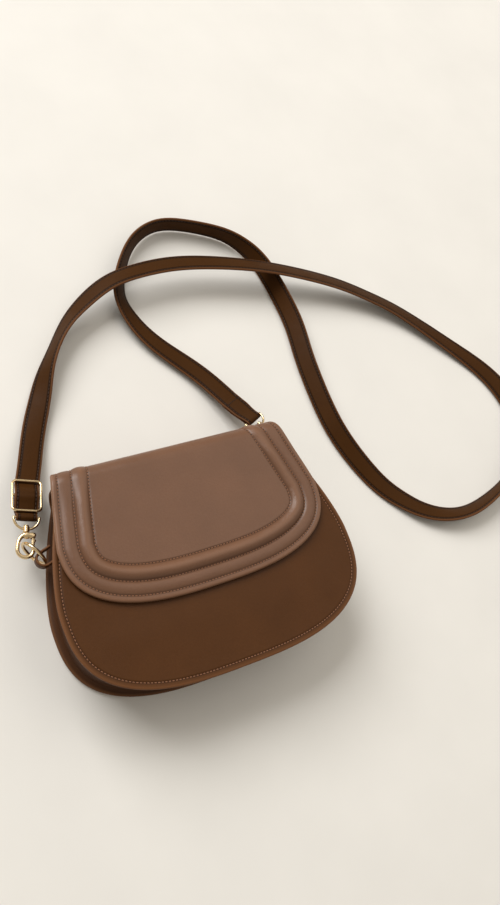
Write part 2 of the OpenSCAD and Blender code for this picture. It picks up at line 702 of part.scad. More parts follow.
module left_eye() { color("gold") place(left_eye_at, left_eye_turn, left_eye_pitch) eye(); }
module right_eye() { color("gold") place(right_eye_at, right_eye_turn, right_eye_pitch) eye(); }
module left_hook() { color("gold") place(left_eye_at, left_eye_turn, left_eye_pitch) hook(); }
module right_hook() { color("gold") place(right_eye_at, right_eye_turn, right_eye_pitch) hook(); }
module left_gate() { color("gold") place(left_eye_at, left_eye_turn, left_eye_pitch) gate(); }
module right_gate() { color("gold") place(right_eye_at, right_eye_turn, right_eye_pitch) gate(); }
module left_gate_pin() { color("silver") place(left_eye_at, left_eye_turn, left_eye_pitch) gate_pin(); }
module right_gate_pin() { color("silver") place(right_eye_at, right_eye_turn, right_eye_pitch) gate_pin(); }

// Where a ring passes through its tab's loop, on the side given as -1 or 1
function tab_z(side) = ring_z - (side < 0 ? left_lift : right_lift);
function ring_at(side, y) = [side * (side_half_w(y) + tab_out), y, ring_z];
function tab_slope(y) = let (e = tab_t / 10) atan((side_half_w(y + e) - side_half_w(y - e)) / (2 * e));

// A strip of leather folded into a loop, its legs cut to lie against the gusset's wall
module tab(side, y) {
  leg = 3 * tab_r;
  mid_r = tab_r - tab_t;
  color("saddlebrown") translate([0, 0, tab_z(side) - tab_w / 2]) linear_extrude(tab_w) difference() {
    translate([side * (side_half_w(y) + tab_out), y]) rotate([0, 0, side < 0 ? -tab_slope(y) + 180 : tab_slope(y)])
      difference() {
        union() {
          circle(r = tab_r, $fn = pin_n);
          translate([-leg, -tab_r]) square([leg, 2 * tab_r]);
        }
        circle(r = mid_r, $fn = pin_n);
        translate([-leg - over, -mid_r]) square([leg + over, 2 * mid_r]);
      }
    polygon(panel_line(flange_w + gusset_draw * 0.8 - tab_gap, depth_share(tab_z(side) + tab_w / 2), top_y));
  }
}

module left_tab() { tab(-1, tab_left_y); }
module right_tab() { tab(1, tab_right_y); }

// A ring that passes through its tab at one point and its hook at another, hanging below the line between them
module ring_between(a, b) {
  chord = b - a;
  sag = sqrt(max(0, ring_r * ring_r - norm(chord) * norm(chord) / 4));
  side = unit(cross(chord, [0, 0, 1]));
  drop = unit(cross(chord, side));
  centre = (a + b) / 2 + sag * (drop[2] < 0 ? drop : -drop);
  color("gold") translate(centre) rotate([0, 90, atan2(side[1], side[0])])
    rotate_extrude($fn = 2 * pin_n) translate([ring_r, 0]) circle(r = ring_wire_r, $fn = wire_n);
}

module left_ring() {
  ring_between(ring_at(-1, tab_left_y), down(left_eye_at, left_eye_turn, left_eye_pitch, left_catch));
}
module right_ring() {
  ring_between(ring_at(1, tab_right_y), down(right_eye_at, right_eye_turn, right_eye_pitch, right_catch));
}

// A band of leather along a path of points in the YZ plane of a fitting, spread along X
module band(path, t, w) {
  n = len(path);
  function along(i) = unit(path[min(i + 1, n - 1)] - path[max(i - 1, 0)]);
  function side(i, d) = path[i] + d * [-along(i)[1], along(i)[0]];
  rotate([90, 0, 90]) linear_extrude(w, center = true)
    polygon(concat([for (i = [0 : n - 1]) side(i, t / 2)], [for (i = [n - 1 : -1 : 0]) side(i, -t / 2)]));
}

// The strap's adjustable end: over the slider's middle bar, round the eye's bar and back to the middle bar
module strap_left_end() {
  mid = slider_wire_r + loop_gap + end_t / 2;
  turn_r = eye_wire_r + loop_gap + end_t / 2;
  bar_y = slider_l / 2 - slider_wire_r;
  under = -mid;
  turn_n = 8;
  color("saddlebrown") place(slider_at, slider_turn, slider_pitch) union() {
    band(concat(
      [[bar_y - 2 * slider_wire_r, under], [bar_y * 0.55, under * 0.2], [bar_y * 0.2, mid * 0.95], [0, mid],
       [-bar_y * 0.2, mid * 0.95], [-bar_y * 0.55, under * 0.1], [-bar_y * 0.94, under],
       [-bar_y - 1.5 * slider_wire_r, under * 0.94]],
      [for (i = [0 : turn_n]) let (a = 30 + 240 * i / turn_n) [-eye_reach + turn_r * cos(a), turn_r * sin(a)]],
      [[-bar_y - 2.7 * slider_wire_r, 1.6 * under], [-bar_y, under - end_t - loop_gap],
       [-bar_y / 2, 1.35 * under], [bar_y / 5, 0.95 * under]]),
      end_t, loop_w);
  }
}

// The strap's sewn right end: a hairpin round the eye's bar
module strap_right_end() {
  turn_r = eye_wire_r + loop_gap + end_t / 2;
  turn_n = 8;
  close = end_t / 2 + soft_gap / 4;
  color("saddlebrown") place(right_eye_at, right_end_turn, right_end_pitch)
    band(concat([[seam_l, close], [seam_l * 0.3, close]],
      [for (i = [0 : turn_n]) let (a = 60 + 240 * i / turn_n) [turn_r * cos(a), turn_r * sin(a)]],
      [[seam_l * 0.3, -close], [seam_l, -close]]), end_t, loop_w);
}

// A smooth curve through the route's points
function curve_at(t) = let (i = min(floor(t), len(route) - 2), u = t - i,
  a = route[max(i - 1, 0)], b = route[i], c = route[i + 1], d = route[min(i + 2, len(route) - 1)])
  0.5 * (2 * b + (c - a) * u + (2 * a - 5 * b + 4 * c - d) * u * u + (3 * b - a - 3 * c + d) * u * u * u);
function place_of(v) = [v[0], v[1], v[2]];

// The strap: a flat band swept along its route, leaning as it goes round its bends
module strap() {
  w = strap_w / 2;
  h = strap_t / 2;
  c = strap_chamfer;
  section = [[w, -h + c], [w, h - c], [w - c, h], [-w + c, h], [-w, h - c], [-w, -h + c], [-w + c, -h], [w - c, -h]];
  steps = len(route) - 1;
  color("saddlebrown") loft([for (i = [0 : strap_rings - 1]) let (t = steps * i / (strap_rings - 1), e = 0.05,
    p = curve_at(t), d = unit(place_of(curve_at(min(t + e, steps))) - place_of(curve_at(max(t - e, 0)))),
    side = unit([-d[1], d[0], 0]), across = cos(p[3]) * side + sin(p[3]) * [0, 0, 1],
    wide = unit(across - (across * d) * d), up = cross(d, wide))
    [for (q = section) place_of(p) + q[0] * wide + q[1] * up]]);
}

back_panel();
front_panel();
gusset();
back_board();
front_board();
back_lining();
front_lining();
gusset_lining();
zip_pouch();
slip_pocket();
zip_tape();
zip_teeth();
zip_slider();
zip_pull();
snap_socket();
snap_washer();
snap_stud();
flap();
flap_lining();
left_tab();
right_tab();
left_ring();
right_ring();
left_eye();
right_eye();
left_hook();
right_hook();
left_gate();
right_gate();
left_gate_pin();
right_gate_pin();
slider();
strap_left_end();
strap_right_end();
strap();
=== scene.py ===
import json
import math

import bmesh
import bpy
import numpy as np
from mathutils import Matrix, Vector, noise


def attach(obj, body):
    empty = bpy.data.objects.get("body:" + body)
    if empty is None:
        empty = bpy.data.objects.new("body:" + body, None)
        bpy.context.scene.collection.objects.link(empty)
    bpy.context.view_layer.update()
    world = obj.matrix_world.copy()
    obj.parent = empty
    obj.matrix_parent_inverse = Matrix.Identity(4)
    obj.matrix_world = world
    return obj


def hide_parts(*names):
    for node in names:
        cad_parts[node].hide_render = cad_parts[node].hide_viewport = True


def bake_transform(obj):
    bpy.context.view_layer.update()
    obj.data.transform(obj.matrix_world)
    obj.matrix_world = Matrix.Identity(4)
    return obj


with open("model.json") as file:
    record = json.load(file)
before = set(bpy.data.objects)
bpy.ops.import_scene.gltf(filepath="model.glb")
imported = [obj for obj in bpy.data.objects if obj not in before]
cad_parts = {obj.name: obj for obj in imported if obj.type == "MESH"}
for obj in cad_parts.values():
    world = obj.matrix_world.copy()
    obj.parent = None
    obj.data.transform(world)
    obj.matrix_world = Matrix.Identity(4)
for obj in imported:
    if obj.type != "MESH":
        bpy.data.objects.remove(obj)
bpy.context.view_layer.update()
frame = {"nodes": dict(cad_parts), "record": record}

MM = 0.001

# The bag's driving sizes in millimetres, as in the part's source. Drops run down from the top of the body.
BAG_W = 232.0
BAG_H = 169.0
BAG_D = 55.0
WIDE_DROP = 96.7
MOUTH_DROP = 17.0
GUSSET_DROP = 12.0
TOP_TAPER = 31.0
SIDE_POWER = 1.53
CORNER_POWER = 2.85
BACK_SHARE = 0.97
PANEL_T = 2.2
GUSSET_T = 2.0
FLANGE_W = 4.5
GUSSET_DRAW = 2.0
FOLD_RISE = 3.0
FOLD_R = 11.0
HINGE_Z = 26.0
HINGE_GAP = 0.4
FACE_RISE = 5.0
FLAP_WIDE_DROP = 54.5
FLAP_TIP_DROP = 109.2
FLAP_INSET = 11.5
ROOT_INSET = 0.4
FLAP_POWER = 1.1
FLAP_CORNER_POWER = 2.68

# Places that follow from them. The flap's path runs up a short wall, round the fold and down the front, and s
# is the distance along it from the hinge line.
TOP_Y = BAG_H / 2
BOTTOM_Y = -BAG_H / 2
WIDE_Y = TOP_Y - WIDE_DROP
MOUTH_Y = TOP_Y - MOUTH_DROP
GUSSET_Y = TOP_Y - GUSSET_DROP
TOP_HALF_W = BAG_W / 2 - TOP_TAPER
FOLD_Y = TOP_Y + FOLD_RISE
PLATE_Y = FOLD_Y - FOLD_R
FACE_Z = BAG_D + FACE_RISE
WALL_L = FACE_Z - FOLD_R - HINGE_Z
BACK_WALL_L = HINGE_Z - HINGE_GAP - FOLD_R
ARC_L = FOLD_R * math.pi / 2
FRONT_S = WALL_L + ARC_L
FLAP_WIDE_S = FRONT_S + PLATE_Y - (TOP_Y - FLAP_WIDE_DROP)
FLAP_TIP_S = FRONT_S + PLATE_Y - (TOP_Y - FLAP_TIP_DROP)
FLAP_HALF_W = BAG_W / 2 - FLAP_INSET
FLAP_ROOT_HALF_W = TOP_HALF_W - ROOT_INSET

# The flap's seams and relief, by their distance from its edge
EDGE_SEAM = 4.5
FLAP_SEAMS = {"edge": EDGE_SEAM, "band": 14.5, "window": 26.5}
BORDER = (5.3, 13.7)
BORDER_H = 1.0
RIDGE = (15.2, 25.8)
RIDGE_H = 2.7
CREST_D = 21.5
WINDOW_D = 28.0
SEAM_DEPTH = 0.5
GROOVE_W = 0.7
GROOVE_SHADE_W = 0.75
RIM_D = 2.4
RIM_W = 1.2
RIM_H = 0.15
WINDOW_FADE = (24, 34)

# How the flap changes along its path: the lap over the back panel, the growing relief, the droop
LAP_L = 6.0
LAP_RISE = 1.5
LAP_FADE = (-1, 9)
LAP_THINNING = 0.44
LAP_STEP = (-0.6, 0.8)
HINGE_SEAM_S = -3.2
HINGE_SEAM_IN = 4.0
RELIEF_FADE = (1, 16)
FOLD_RELIEF = 0.4
RELIEF_GROW = (-2, 20)
DROOP_H = 0.9
DROOP_W = 20.0

# The flap's section at its edge, and its lining
FLAP_RIM_W = 1.4
FLAP_RIM_HALF_T = 1.8
FLAP_T = 2.6
TURNED_T = 3.6
TURNED_W = 5.9
FLAP_LINING_ROOT_S = 3.0
FLAP_LINING_W = 12.0
FLAP_LINING_H = (-3.35, -2.65)

# The panels: rim, seam and crown, the bound mouth, and how far a rounded edge starts under the face
PANEL_RIM_H = 0.12
PANEL_SEAM_DEPTH = 0.45
CROWN_H = 0.9
CROWN_FADE = (3, 40)
BELOW_FLAP = (-18, -45)
BINDING_R = PANEL_T / 2 + 0.25
BINDING_RISE = 0.2
BINDING_INSET = 0.4
MOUTH_SEAM_DROP = 3.6
SEAM_SINK = 0.05
EDGE_SINK = 0.02

# The gusset: depth and inset of its lip at each flange, and how it lies inside
LIP = [(0.0, 0.25), (0.35, 0.1), (0.9, 0.15), (1.3, 0.8), (1.6, 2.4)]
INNER_STEP = 0.2
GUSSET_LINING_DROP = 0.4
GUSSET_LINING_GAP = 0.5

# Layers of the lining, as heights over the back face, and the slip pocket
BACK_LINING_Z = 4.4
FRONT_LINING_Z = 50.8
LINING_T = 0.8
LINING_MARGIN = 7.0
LINING_RIM = 6.0
LINING_GAP = 0.2
POCKET_HALF_W = 60.0
POCKET_LOW_Y = -52.0
POCKET_TOP_Y = 16.0
POCKET_OUT = 1.2
POCKET_SEWN = 1.1
POCKET_SEAM_W = 3.0
POCKET_SIDE_X = 50.0
POCKET_SLACK = 0.66
POCKET_HEM = 2.0

# The strap's section and its fittings: origin, turn and pitch in degrees
STRAP_W = 18.0
STRAP_T = 2.6
END_T = 1.6
END_SIDE_GAP = 0.3
LOOP_W = 14.9
LEFT_END_W = 17.6
SLIDER_L = 28.0
SLIDER_WIRE_R = 1.0
SLIDER = (Vector((-103.67, 86.0, 21.7)), -19.0, -14.0)
EYE_REACH = 18.95
EYE_WIRE_R = 0.95
WRAP_GAP = 0.3
RIGHT_END = (Vector((95.79, 103.5, 18.0)), 23.6, -14.8)
SEWN_L = 27.0
SEWN_GAP = 0.15
SEAM_SHARE = 0.735
SEAM_HEIGHT_SHARE = 0.72
CROSS_SEAM_Y = 23.0
CROSS_SEAM_SHARE = 0.43
CROSS_SEAM_HEIGHT_SHARE = 0.47
# Half of the strap's padded face from its middle to its edge, as shares of its half width and half thickness
FACE_SHARES = [(0, 1.0), (0.3, 0.98), (0.55, 0.9), (0.68, 0.82), (SEAM_SHARE, 0.6), (0.79, 0.8), (0.88, 0.82),
               (0.95, 0.66), (0.985, 0.4), (1.0, 0.0)]
# How light the strap is from each share of its half width outward: rubbed edge, lighter rim, and painted
# shade in the seam's groove
RUBBED_SHARE = 0.93
WEAR_AND_SHADE_SHARES = [(RUBBED_SHARE, 0.6), (0.85, 0.35), (0.8, 0.0), (0.67, -1.0)]

# The side tabs: side, y and z of their middle, and the loop of leather round the ring
TABS = {"left": (-1, 36.0, 24.0), "right": (1, 63.5, 24.8)}
TAB_R = 6.2
TAB_T = 1.9
TAB_W = 8.0
TAB_OUT = 1.8
TAB_SEWN = 0.6
TAB_NECK = 1.5

# The snap hooks: place, turn and pitch of their eyes, and lengths down from the eye's bar
HOOKS = {"left": (Vector((-109.66, 68.61, 26.28)), -19.0, 0.0), "right": (RIGHT_END[0], RIGHT_END[1], -18.0)}
# The swivel pin's half section, from its bevelled head to its end in the knuckle, as (y, radius)
PIN = [(5.85, 0.2), (5.85, 1.5), (6.0, 1.9), (6.7, 1.9), (6.85, 1.5), (6.85, 1.2), (12.25, 1.2)]
KNUCKLE_X = (-2.6, 7.1)
KNUCKLE_Y = (11.25, 15.65)
KNUCKLE_W = 4.7
KNUCKLE_ROUND = 0.9
WAIST_X = 2.7
WAIST_W = 0.9
WAIST_D = 0.45
SLOT_X = 3.25
SLOT_W = 2.5
# The bow's shoulder, from inside the knuckle to the spine
SHOULDER = [(-0.6, -13.3), (-2.2, -13.8), (-3.7, -15.2), (-4.85, -17.6), (-5.4, -20.3)]
HOOK_WIRE_R = 1.4
SHOULDER_THICKER = 0.5
SHOULDER_L = 6.0
HOOK_ARC_R = 5.6
HOOK_ARC_Y = 23.95
NOSE_Y = 22.75
NOSE_ROUND_SHARE = 0.98
BOW_STEP = 0.35
GATE_X = 5.18
GATE_Y = 13.45
GATE_END_Y = 21.0
GATE_HEAD_R = 1.6
GATE_HALF_W = 1.15
GATE_T = 2.2
GATE_ROUND = 0.55
NUB_H = 0.9
NUB_W = 0.9

# How far the outlines' normals and the strap's bends are evened out
NORMAL_BLUR = 7.0
STRAP_BLUR = 13.0
STRAP_STEP = 2.0

# The strap's route from the slider to its right end: x, y, z and the lean of its width in degrees
ROUTE = [
    (-100.9, 93.5, 16.7, 0), (-92.9, 109.5, 10.7, 0), (-80.9, 137.5, 4.7, 0), (-67, 164, 5, -22),
    (-55, 188, 9, -52), (-42, 206, 10, -66), (-27, 224, 12, -54), (-12, 235, 15, -38), (7, 246, 19, -29),
    (28, 253, 22, -22),
    (86, 257, 22, -17), (162, 242, 21, -24), (229, 219, 15, -24), (264, 201, 10, -24), (297, 178, 6, -21),
    (342, 129, 3, -7), (361, 104, 3, 7), (371, 79, 5, 20), (372, 50, 8, 45), (361, 22, 10, 72),
    (338, -2, 10, 80), (312, -15, 10, 70), (269, -26, 8, 47), (233, -16, 5, 20), (211, 5, 2, 3),
    (194, 27, 3, -11), (175, 81, 6, -30), (174, 150, 7, -35), (179, 190, 7, -35), (171, 250, 9, -58),
    (157, 275, 10, -80), (142, 289, 10, -90), (93, 306, 10, -90), (70, 301, 10, -79), (51, 288, 10, -69),
    (29, 252, 8, -51), (28, 230, 6, -31), (41, 198, 4, -13), (72, 158.3, 5, -1), (86.9, 124, 12.1, 0)]

# Stitches: a bead of thread, as shares of the pitch along it and of its width for radius and height, and the
# needle hole between two beads, a small dark shape of painted shade, as shares of its radius
STITCH_PITCH = 2.5
THREAD_W = 0.75
HOLE_R = 0.62
STRAP_STITCH = {"pitch": 3.0, "size": 0.5}
CROSS_STITCH = {"pitch": 2.2, "size": 0.7, "hole_r": 0.5}
BEAD_SIDES = 6
BEAD_END_SHARE = 0.4
HALF_BEAD_SHARES = [(BEAD_END_SHARE, 0.12, -0.35), (0.31, 0.42, -0.1), (0.13, 0.5, 0.12)]
BEAD_SHARES = [(-step, r, lift) for step, r, lift in HALF_BEAD_SHARES] + HALF_BEAD_SHARES[::-1]
HOLE_SINK_SHARE = 0.05
HOLE_SHARES = [(1, 0, 0), (0.3, 0.95, 0), (-1, 0, 0), (-0.3, -0.95, 0), (0, 0, 0.35), (0, 0, -1)]
HOLE_FACES = [(0, 1, 4), (1, 2, 4), (2, 3, 4), (3, 0, 4), (1, 0, 5), (2, 1, 5), (3, 2, 5), (0, 3, 5)]
SEAM_SIDES = {"left_top": (-1, 1), "right_top": (1, 1), "left_under": (-1, -1), "right_under": (1, -1)}

# The photograph's camera, in degrees and millimetres, for a frame of 500 by 905 pixels
CAMERA_AZIMUTH = -60.97
CAMERA_ELEVATION = 59.32
CAMERA_ROLL = 42.57
CAMERA_DISTANCE = 725.3
CAMERA_TARGET = Vector((75.5, 72.5, 30.0))
CAMERA_FOCAL_PX = 899.0
FRAME_H_PX = 905
SENSOR = 36.0

# The floor in millimetres, and the studio's lamps in metres: place, size, power and colour
FLOOR_HALF = 9000.0
FLOOR_Z = -0.3
WORLD_COLOUR = (1.0, 0.93, 0.82, 1)
WORLD_STRENGTH = 0.43
LAMP_AIM = Vector((0.05, 0.05, 0.0))
LAMPS = {"window": ((-1.3, 3.02, 2.97), 2.7, 204.0, (1.0, 0.99, 0.975)),
         "fill": ((1.4, 0.4, 1.9), 2.2, 14.0, (1.0, 0.95, 0.88))}


def smoothstep(low, high, x):
    t = np.clip((np.asarray(x, float) - low) / (high - low), 0, 1)
    return t * t * (3 - 2 * t)


def bell(x, middle, width):
    return np.exp(-((x - middle) / width) ** 2)


def hump(x, low, high, power):
    """A round hump from 0 at low through 1 back to 0 at high."""
    return np.sin(math.pi * np.clip((x - low) / (high - low), 0, 1)) ** power


def unit(v):
    return v / np.linalg.norm(v, axis=-1, keepdims=True)


def round_angles(count):
    return np.arange(count) * 2 * math.pi / count


def points_of(*values):
    """Points from their coordinates, each a row of numbers or one for all."""
    return np.stack(np.broadcast_arrays(*values), axis=-1).astype(float)


def ripple(points, height, size, seed):
    """Smooth noise of about that height, up and down, with features of about that size."""
    return height * np.array([noise.noise(Vector(q)) for q in points / size + seed])


def with_zeros(points):
    """Flat points with a third coordinate, which is zero."""
    return np.pad(np.asarray(points, float), ((0, 0), (0, 1)))


def distances(line):
    """How far along a line each of its points is."""
    return np.concatenate([[0], np.cumsum(np.linalg.norm(np.diff(line, axis=0), axis=1))])


def on_line(line, run, at):
    """The line's values at distances along it."""
    return np.stack([np.interp(at, run, line[:, i]) for i in range(line.shape[1])], axis=1)


def resample(line, spacing):
    """The same line with evenly spaced points."""
    run = distances(line)
    return on_line(line, run, np.linspace(0, run[-1], int(round(run[-1] / spacing)) + 1))


def smoothed(line, sigma):
    """A line or a field along it, blurred over that many steps, with its ends kept."""
    reach = int(3 * sigma) + 1
    weights = np.exp(-0.5 * (np.arange(-reach, reach + 1) / sigma) ** 2)
    weights /= weights.sum()
    low = 2 * line[0] - line[reach:0:-1]
    high = 2 * line[-1] - line[-2:-reach - 2:-1]
    padded = np.concatenate([low, line, high])
    return np.stack([np.convolve(padded[:, i], weights, "valid") for i in range(line.shape[1])], 1)


def catmull(points, count):
    """A smooth curve through the points, with the spline that the part's source uses."""
    p = np.asarray(points, float)
    out = []
    for t in np.linspace(0, len(p) - 1, count):
        i = min(int(t), len(p) - 2)
        u = t - i
        a, b, c, d = p[max(i - 1, 0)], p[i], p[i + 1], p[min(i + 2, len(p) - 1)]
        out.append(0.5 * (2 * b + (c - a) * u + (2 * a - 5 * b + 4 * c - d) * u ** 2
                          + (3 * b - a - 3 * c + d) * u ** 3))
    return np.array(out)


def side_normals(line):
    """Level unit normals of a line, to its left."""
    along = unit(np.gradient(line, axis=0))
    return points_of(-along[:, 1], along[:, 0], 0)


def span(half_w, count):
    return np.linspace(-half_w, half_w, count)


def cosine_steps(low, high, count):
    """Values from low to high, close together at both ends."""
    return (low + high) / 2 - (high - low) / 2 * np.cos(np.linspace(0, math.pi, count))


# Meshes

def piece(name, points, faces, material, wear_and_shade=None):
    """A smooth mesh from points in millimetres. The wear values run from 1, rubbed and light, to -1, dark
    with painted shade in a groove.
    """
    mesh = bpy.data.meshes.new(name)
    mesh.from_pydata((np.asarray(points, float).reshape(-1, 3) * MM).tolist(), [], faces)
    mesh.validate()
    mesh.shade_smooth()
    if wear_and_shade is not None:
        attribute = mesh.attributes.new("wear_and_shade", "FLOAT", "POINT")
        attribute.data.foreach_set("value", np.asarray(wear_and_shade, np.float32).ravel())
    obj = bpy.data.objects.new(name, mesh)
    bpy.context.scene.collection.objects.link(obj)
    mesh.materials.append(material)
    return obj


def outward(obj):
    """Turns the faces so that they all look outward."""
    bm = bmesh.new()
    bm.from_mesh(obj.data)
    bmesh.ops.recalc_face_normals(bm, faces=bm.faces)
    bm.to_mesh(obj.data)
    bm.free()
    return obj


def grid_faces(rows, columns, closed=False, start=0):
    """Quads of a grid whose points run along the columns first."""
    faces = []
    for i in range(rows - 1):
        for j in range(columns if closed else columns - 1):
            a = start + i * columns
            b = a + columns
            k = (j + 1) % columns
            faces.append((a + j, a + k, b + k, b + j))
    return faces


def grid_rim(rows, columns):
    """The points round the rim of such a grid, in turn."""
    grid = np.arange(rows * columns).reshape(rows, columns)
    return [*grid[0, :-1], *grid[:-1, -1], *grid[-1, :0:-1], *grid[:0:-1, 0]]


def tube_faces(rings, sides, start=0):
    """Faces of a closed tube: its wall and its two ends."""
    first = range(start, start + sides)
    last = range(start + (rings - 1) * sides, start + rings * sides)
    return grid_faces(rings, sides, closed=True, start=start) + [tuple(first)[::-1], tuple(last)]


def repeated(faces, step, count):
    """The faces of one small shape for each of its copies, whose points follow each other."""
    return [tuple(i * step + k for k in face) for i in range(count) for face in faces]


def sweep(name, rings, material, wear_and_shade=None):
    """A closed tube through rings of points. The wear and painted groove shade given are those of one ring.
    """
    worn = wear_and_shade and wear_and_shade * len(rings)
    return outward(piece(name, rings, tube_faces(len(rings), len(rings[0])), material, worn))


def stand_in(obj, *nodes, body="bag"):
    """Lets a piece take the place of CAD nodes and move with their body."""
    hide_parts(*nodes)
    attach(obj, body)


# Outlines

def side_half_w(y):
    share = np.maximum(0, (np.asarray(y, float) - WIDE_Y) / (TOP_Y - WIDE_Y))
    return BAG_W / 2 - (BAG_W / 2 - TOP_HALF_W) * share ** SIDE_POWER


def depth_share(z):
    return BACK_SHARE + (1 - BACK_SHARE) * z / BAG_D


def mirrored(half, spacing):
    """An evenly spaced U from its right half, which runs upward, and the normals that point into it."""
    right = resample(half, spacing)
    line = np.concatenate([right[:0:-1] * [-1, 1], right])
    d = unit(smoothed(unit(np.gradient(line, axis=0)), NORMAL_BLUR / spacing))
    return line, points_of(-d[:, 1], d[:, 0])


def superellipse(half_w, drop, power):
    t = np.linspace(0, math.pi / 2, 400)
    return half_w * np.sin(t) ** (2 / power), drop * np.maximum(np.cos(t), 0) ** (2 / power)


def panel_line(top, spacing=2.0):
    """The panels' outline up to a height, as a U of (x, y)."""
    x, drop = superellipse(BAG_W / 2, WIDE_Y - BOTTOM_Y, CORNER_POWER)
    y = np.linspace(WIDE_Y, top, 200)[1:]
    return mirrored(np.concatenate([points_of(x, WIDE_Y - drop), points_of(side_half_w(y), y)]), spacing)


def flap_line(root, spacing=1.5):
    """The flap's outline laid flat, as a U of (x, s) that starts at root."""
    x, drop = superellipse(FLAP_HALF_W, FLAP_TIP_S - FLAP_WIDE_S, FLAP_CORNER_POWER)
    s = np.linspace(FLAP_WIDE_S, root, 300)[1:]
    share = np.clip(1 - s / FLAP_WIDE_S, 0, 1)
    side = FLAP_HALF_W - (FLAP_HALF_W - FLAP_ROOT_HALF_W) * share ** FLAP_POWER
    line, inward = mirrored(np.concatenate([points_of(x, FLAP_WIDE_S + drop), points_of(side, s)]), spacing)
    return line, -inward


def bend_round(wall_l, z0, turn):
    """A bend of the leather: along a wall, round a quarter of the fold and on over the front or the floor. It
    gives the place of a flat point at a height over the leather."""
    def bend(x, s, h):
        a = np.clip((s - wall_l) / FOLD_R, 0, math.pi / 2)
        y = PLATE_Y + (FOLD_R + h) * np.cos(a) - np.maximum(s - wall_l - ARC_L, 0)
        z = z0 + turn * ((FOLD_R + h) * np.sin(a) + np.minimum(s - wall_l, 0))
        return points_of(x, y, z)
    return bend


bend_flap = bend_round(WALL_L, FACE_Z - FOLD_R, 1)
bend_back = bend_round(BACK_WALL_L, FOLD_R, -1)


def lie_flat(z0):
    """A bend that leaves a panel flat, its face at a height and its second coordinate as y."""
    return lambda x, y, h: points_of(x, y, z0 + h)


# Sheets of leather and cloth inside a U

def edge_distance(line, x, s):
    return np.array([np.sqrt(((line - p) ** 2).sum(axis=1).min()) for p in points_of(x, s)])


def window_points(flat, columns):
    """Points on rows between the legs of a U, from its open end to its tip, without the legs' own."""
    half = len(flat) // 2
    left, right = flat[:half], flat[:half:-1]
    share = np.linspace(0, 1, columns + 1)[1:-1]
    x = left[:, :1] + share * (right[:, :1] - left[:, :1])
    return x.ravel(), np.repeat(left[:, 1], columns - 1)


def window_rows(count, columns, rim, first):
    """The numbers of those points with the legs' own. The U's start at rim and the others at first."""
    inner = columns - 1
    return [[rim + k, *range(first + k * inner, first + (k + 1) * inner), rim + count - 1 - k]
            for k in range(count // 2)]


def window_faces(rows, tip, turn):
    """Quads between the rows and a fan at the U's tip. turn is -1 for a window seen from its other side."""
    pairs = range(len(rows[0]) - 1)
    faces = [(a[j], b[j], b[j + 1], a[j + 1]) for a, b in zip(rows, rows[1:]) for j in pairs]
    faces += [(rows[-1][j], tip, rows[-1][j + 1]) for j in pairs]
    return [face[::turn] for face in faces]


def u_sheet(name, line, inward, bend, levels, lift, material, columns=48, wear_and_shade=None):
    """A closed sheet. levels are (inset, height) from inside the face out round the edge and back underneath.
    lift(inset, x, s, height) gives the final height, and bend the place in space."""
    count = len(line)
    points = []
    worn = []
    for inset, h in levels:
        x, s = (line + inset * inward).T
        points += bend(x, s, lift(inset, x, s, h)).tolist()
        # the wear values carry rubbed wear and, below zero, painted shade in the grooves
        worn += [wear_and_shade(inset, h) if wear_and_shade else 0] * count
    last = len(levels) - 1
    faces = grid_faces(last + 1, count)
    open_rows = []
    for level, turn in ((0, 1), (last, -1)):
        inset, h = levels[level]
        rim = level * count
        rows = window_rows(count, columns, rim, len(points))
        faces += window_faces(rows, rim + count // 2, turn)
        open_rows.append(rows[0])
        x, s = window_points(line + inset * inward, columns)
        points += bend(x, s, lift(edge_distance(line, x, s), x, s, h)).tolist()
        worn += [0] * len(x)
    top, low = open_rows
    faces += [(top[j], top[j + 1], low[j + 1], low[j]) for j in range(columns)]
    faces.append(tuple(i * count for i in range(last + 1)))
    faces.append(tuple(i * count + count - 1 for i in range(last, -1, -1)))
    return outward(piece(name, points, faces, material, worn if wear_and_shade else None))


def seam_on(bend, line, inward, inset, lift):
    """A seam's points and upward directions, at an inset from the outline."""
    x, s = (line + inset * inward).T
    h = lift(inset, x, s, 0.0)
    at = bend(x, s, h)
    return at, bend(x, s, h + 1) - at


def rim_levels(width, half_t, steps):
    """Levels round a sheet's edge, from just under its face to just over its underside."""
    return [(width - width * math.cos(a), -half_t + half_t * math.sin(a) - EDGE_SINK)
            for a in np.radians(np.linspace(80, -80, steps))]


# Materials

def new_material(name):
    material = bpy.data.materials.new(name)
    material.use_nodes = True
    tree = material.node_tree
    return material, tree, tree.nodes["Principled BSDF"]


def node(tree, kind, **values):
    made = tree.nodes.new(kind)
    for key, value in values.items():
        if key in made.inputs:
            made.inputs[key].default_value = value
        else:
            setattr(made, key, value)
    return made


def texture(tree, kind, **values):
    """A texture on the object's own coordinates."""
    made = node(tree, kind, **values)
    tree.links.new(node(tree, "ShaderNodeTexCoord").outputs["Object"], made.inputs["Vector"])
    return made.outputs


def noise_map(tree, scale, detail=3.0, roughness=0.55):
    return texture(tree, "ShaderNodeTexNoise", Scale=scale, Detail=detail, Roughness=roughness)["Fac"]


def ramp(tree, value, low, high, low_at=0.3, high_at=0.7):
    ends = {"From Min": low_at, "From Max": high_at, "To Min": low, "To Max": high}
    made = node(tree, "ShaderNodeMapRange", **ends)
    tree.links.new(value, made.inputs["Value"])
    return made.outputs["Result"]


def mix_colours(tree, factor, a, b):
    """A mix of two colours, each a tuple or another node's output, by that node's output."""
    made = node(tree, "ShaderNodeMix", data_type="RGBA")
    tree.links.new(factor, made.inputs[0])
    for source, target in ((a, made.inputs[6]), (b, made.inputs[7])):
        if isinstance(source, tuple):
            target.default_value = (*source, 1)
        else:
            tree.links.new(source, target)
    return made.outputs[2]


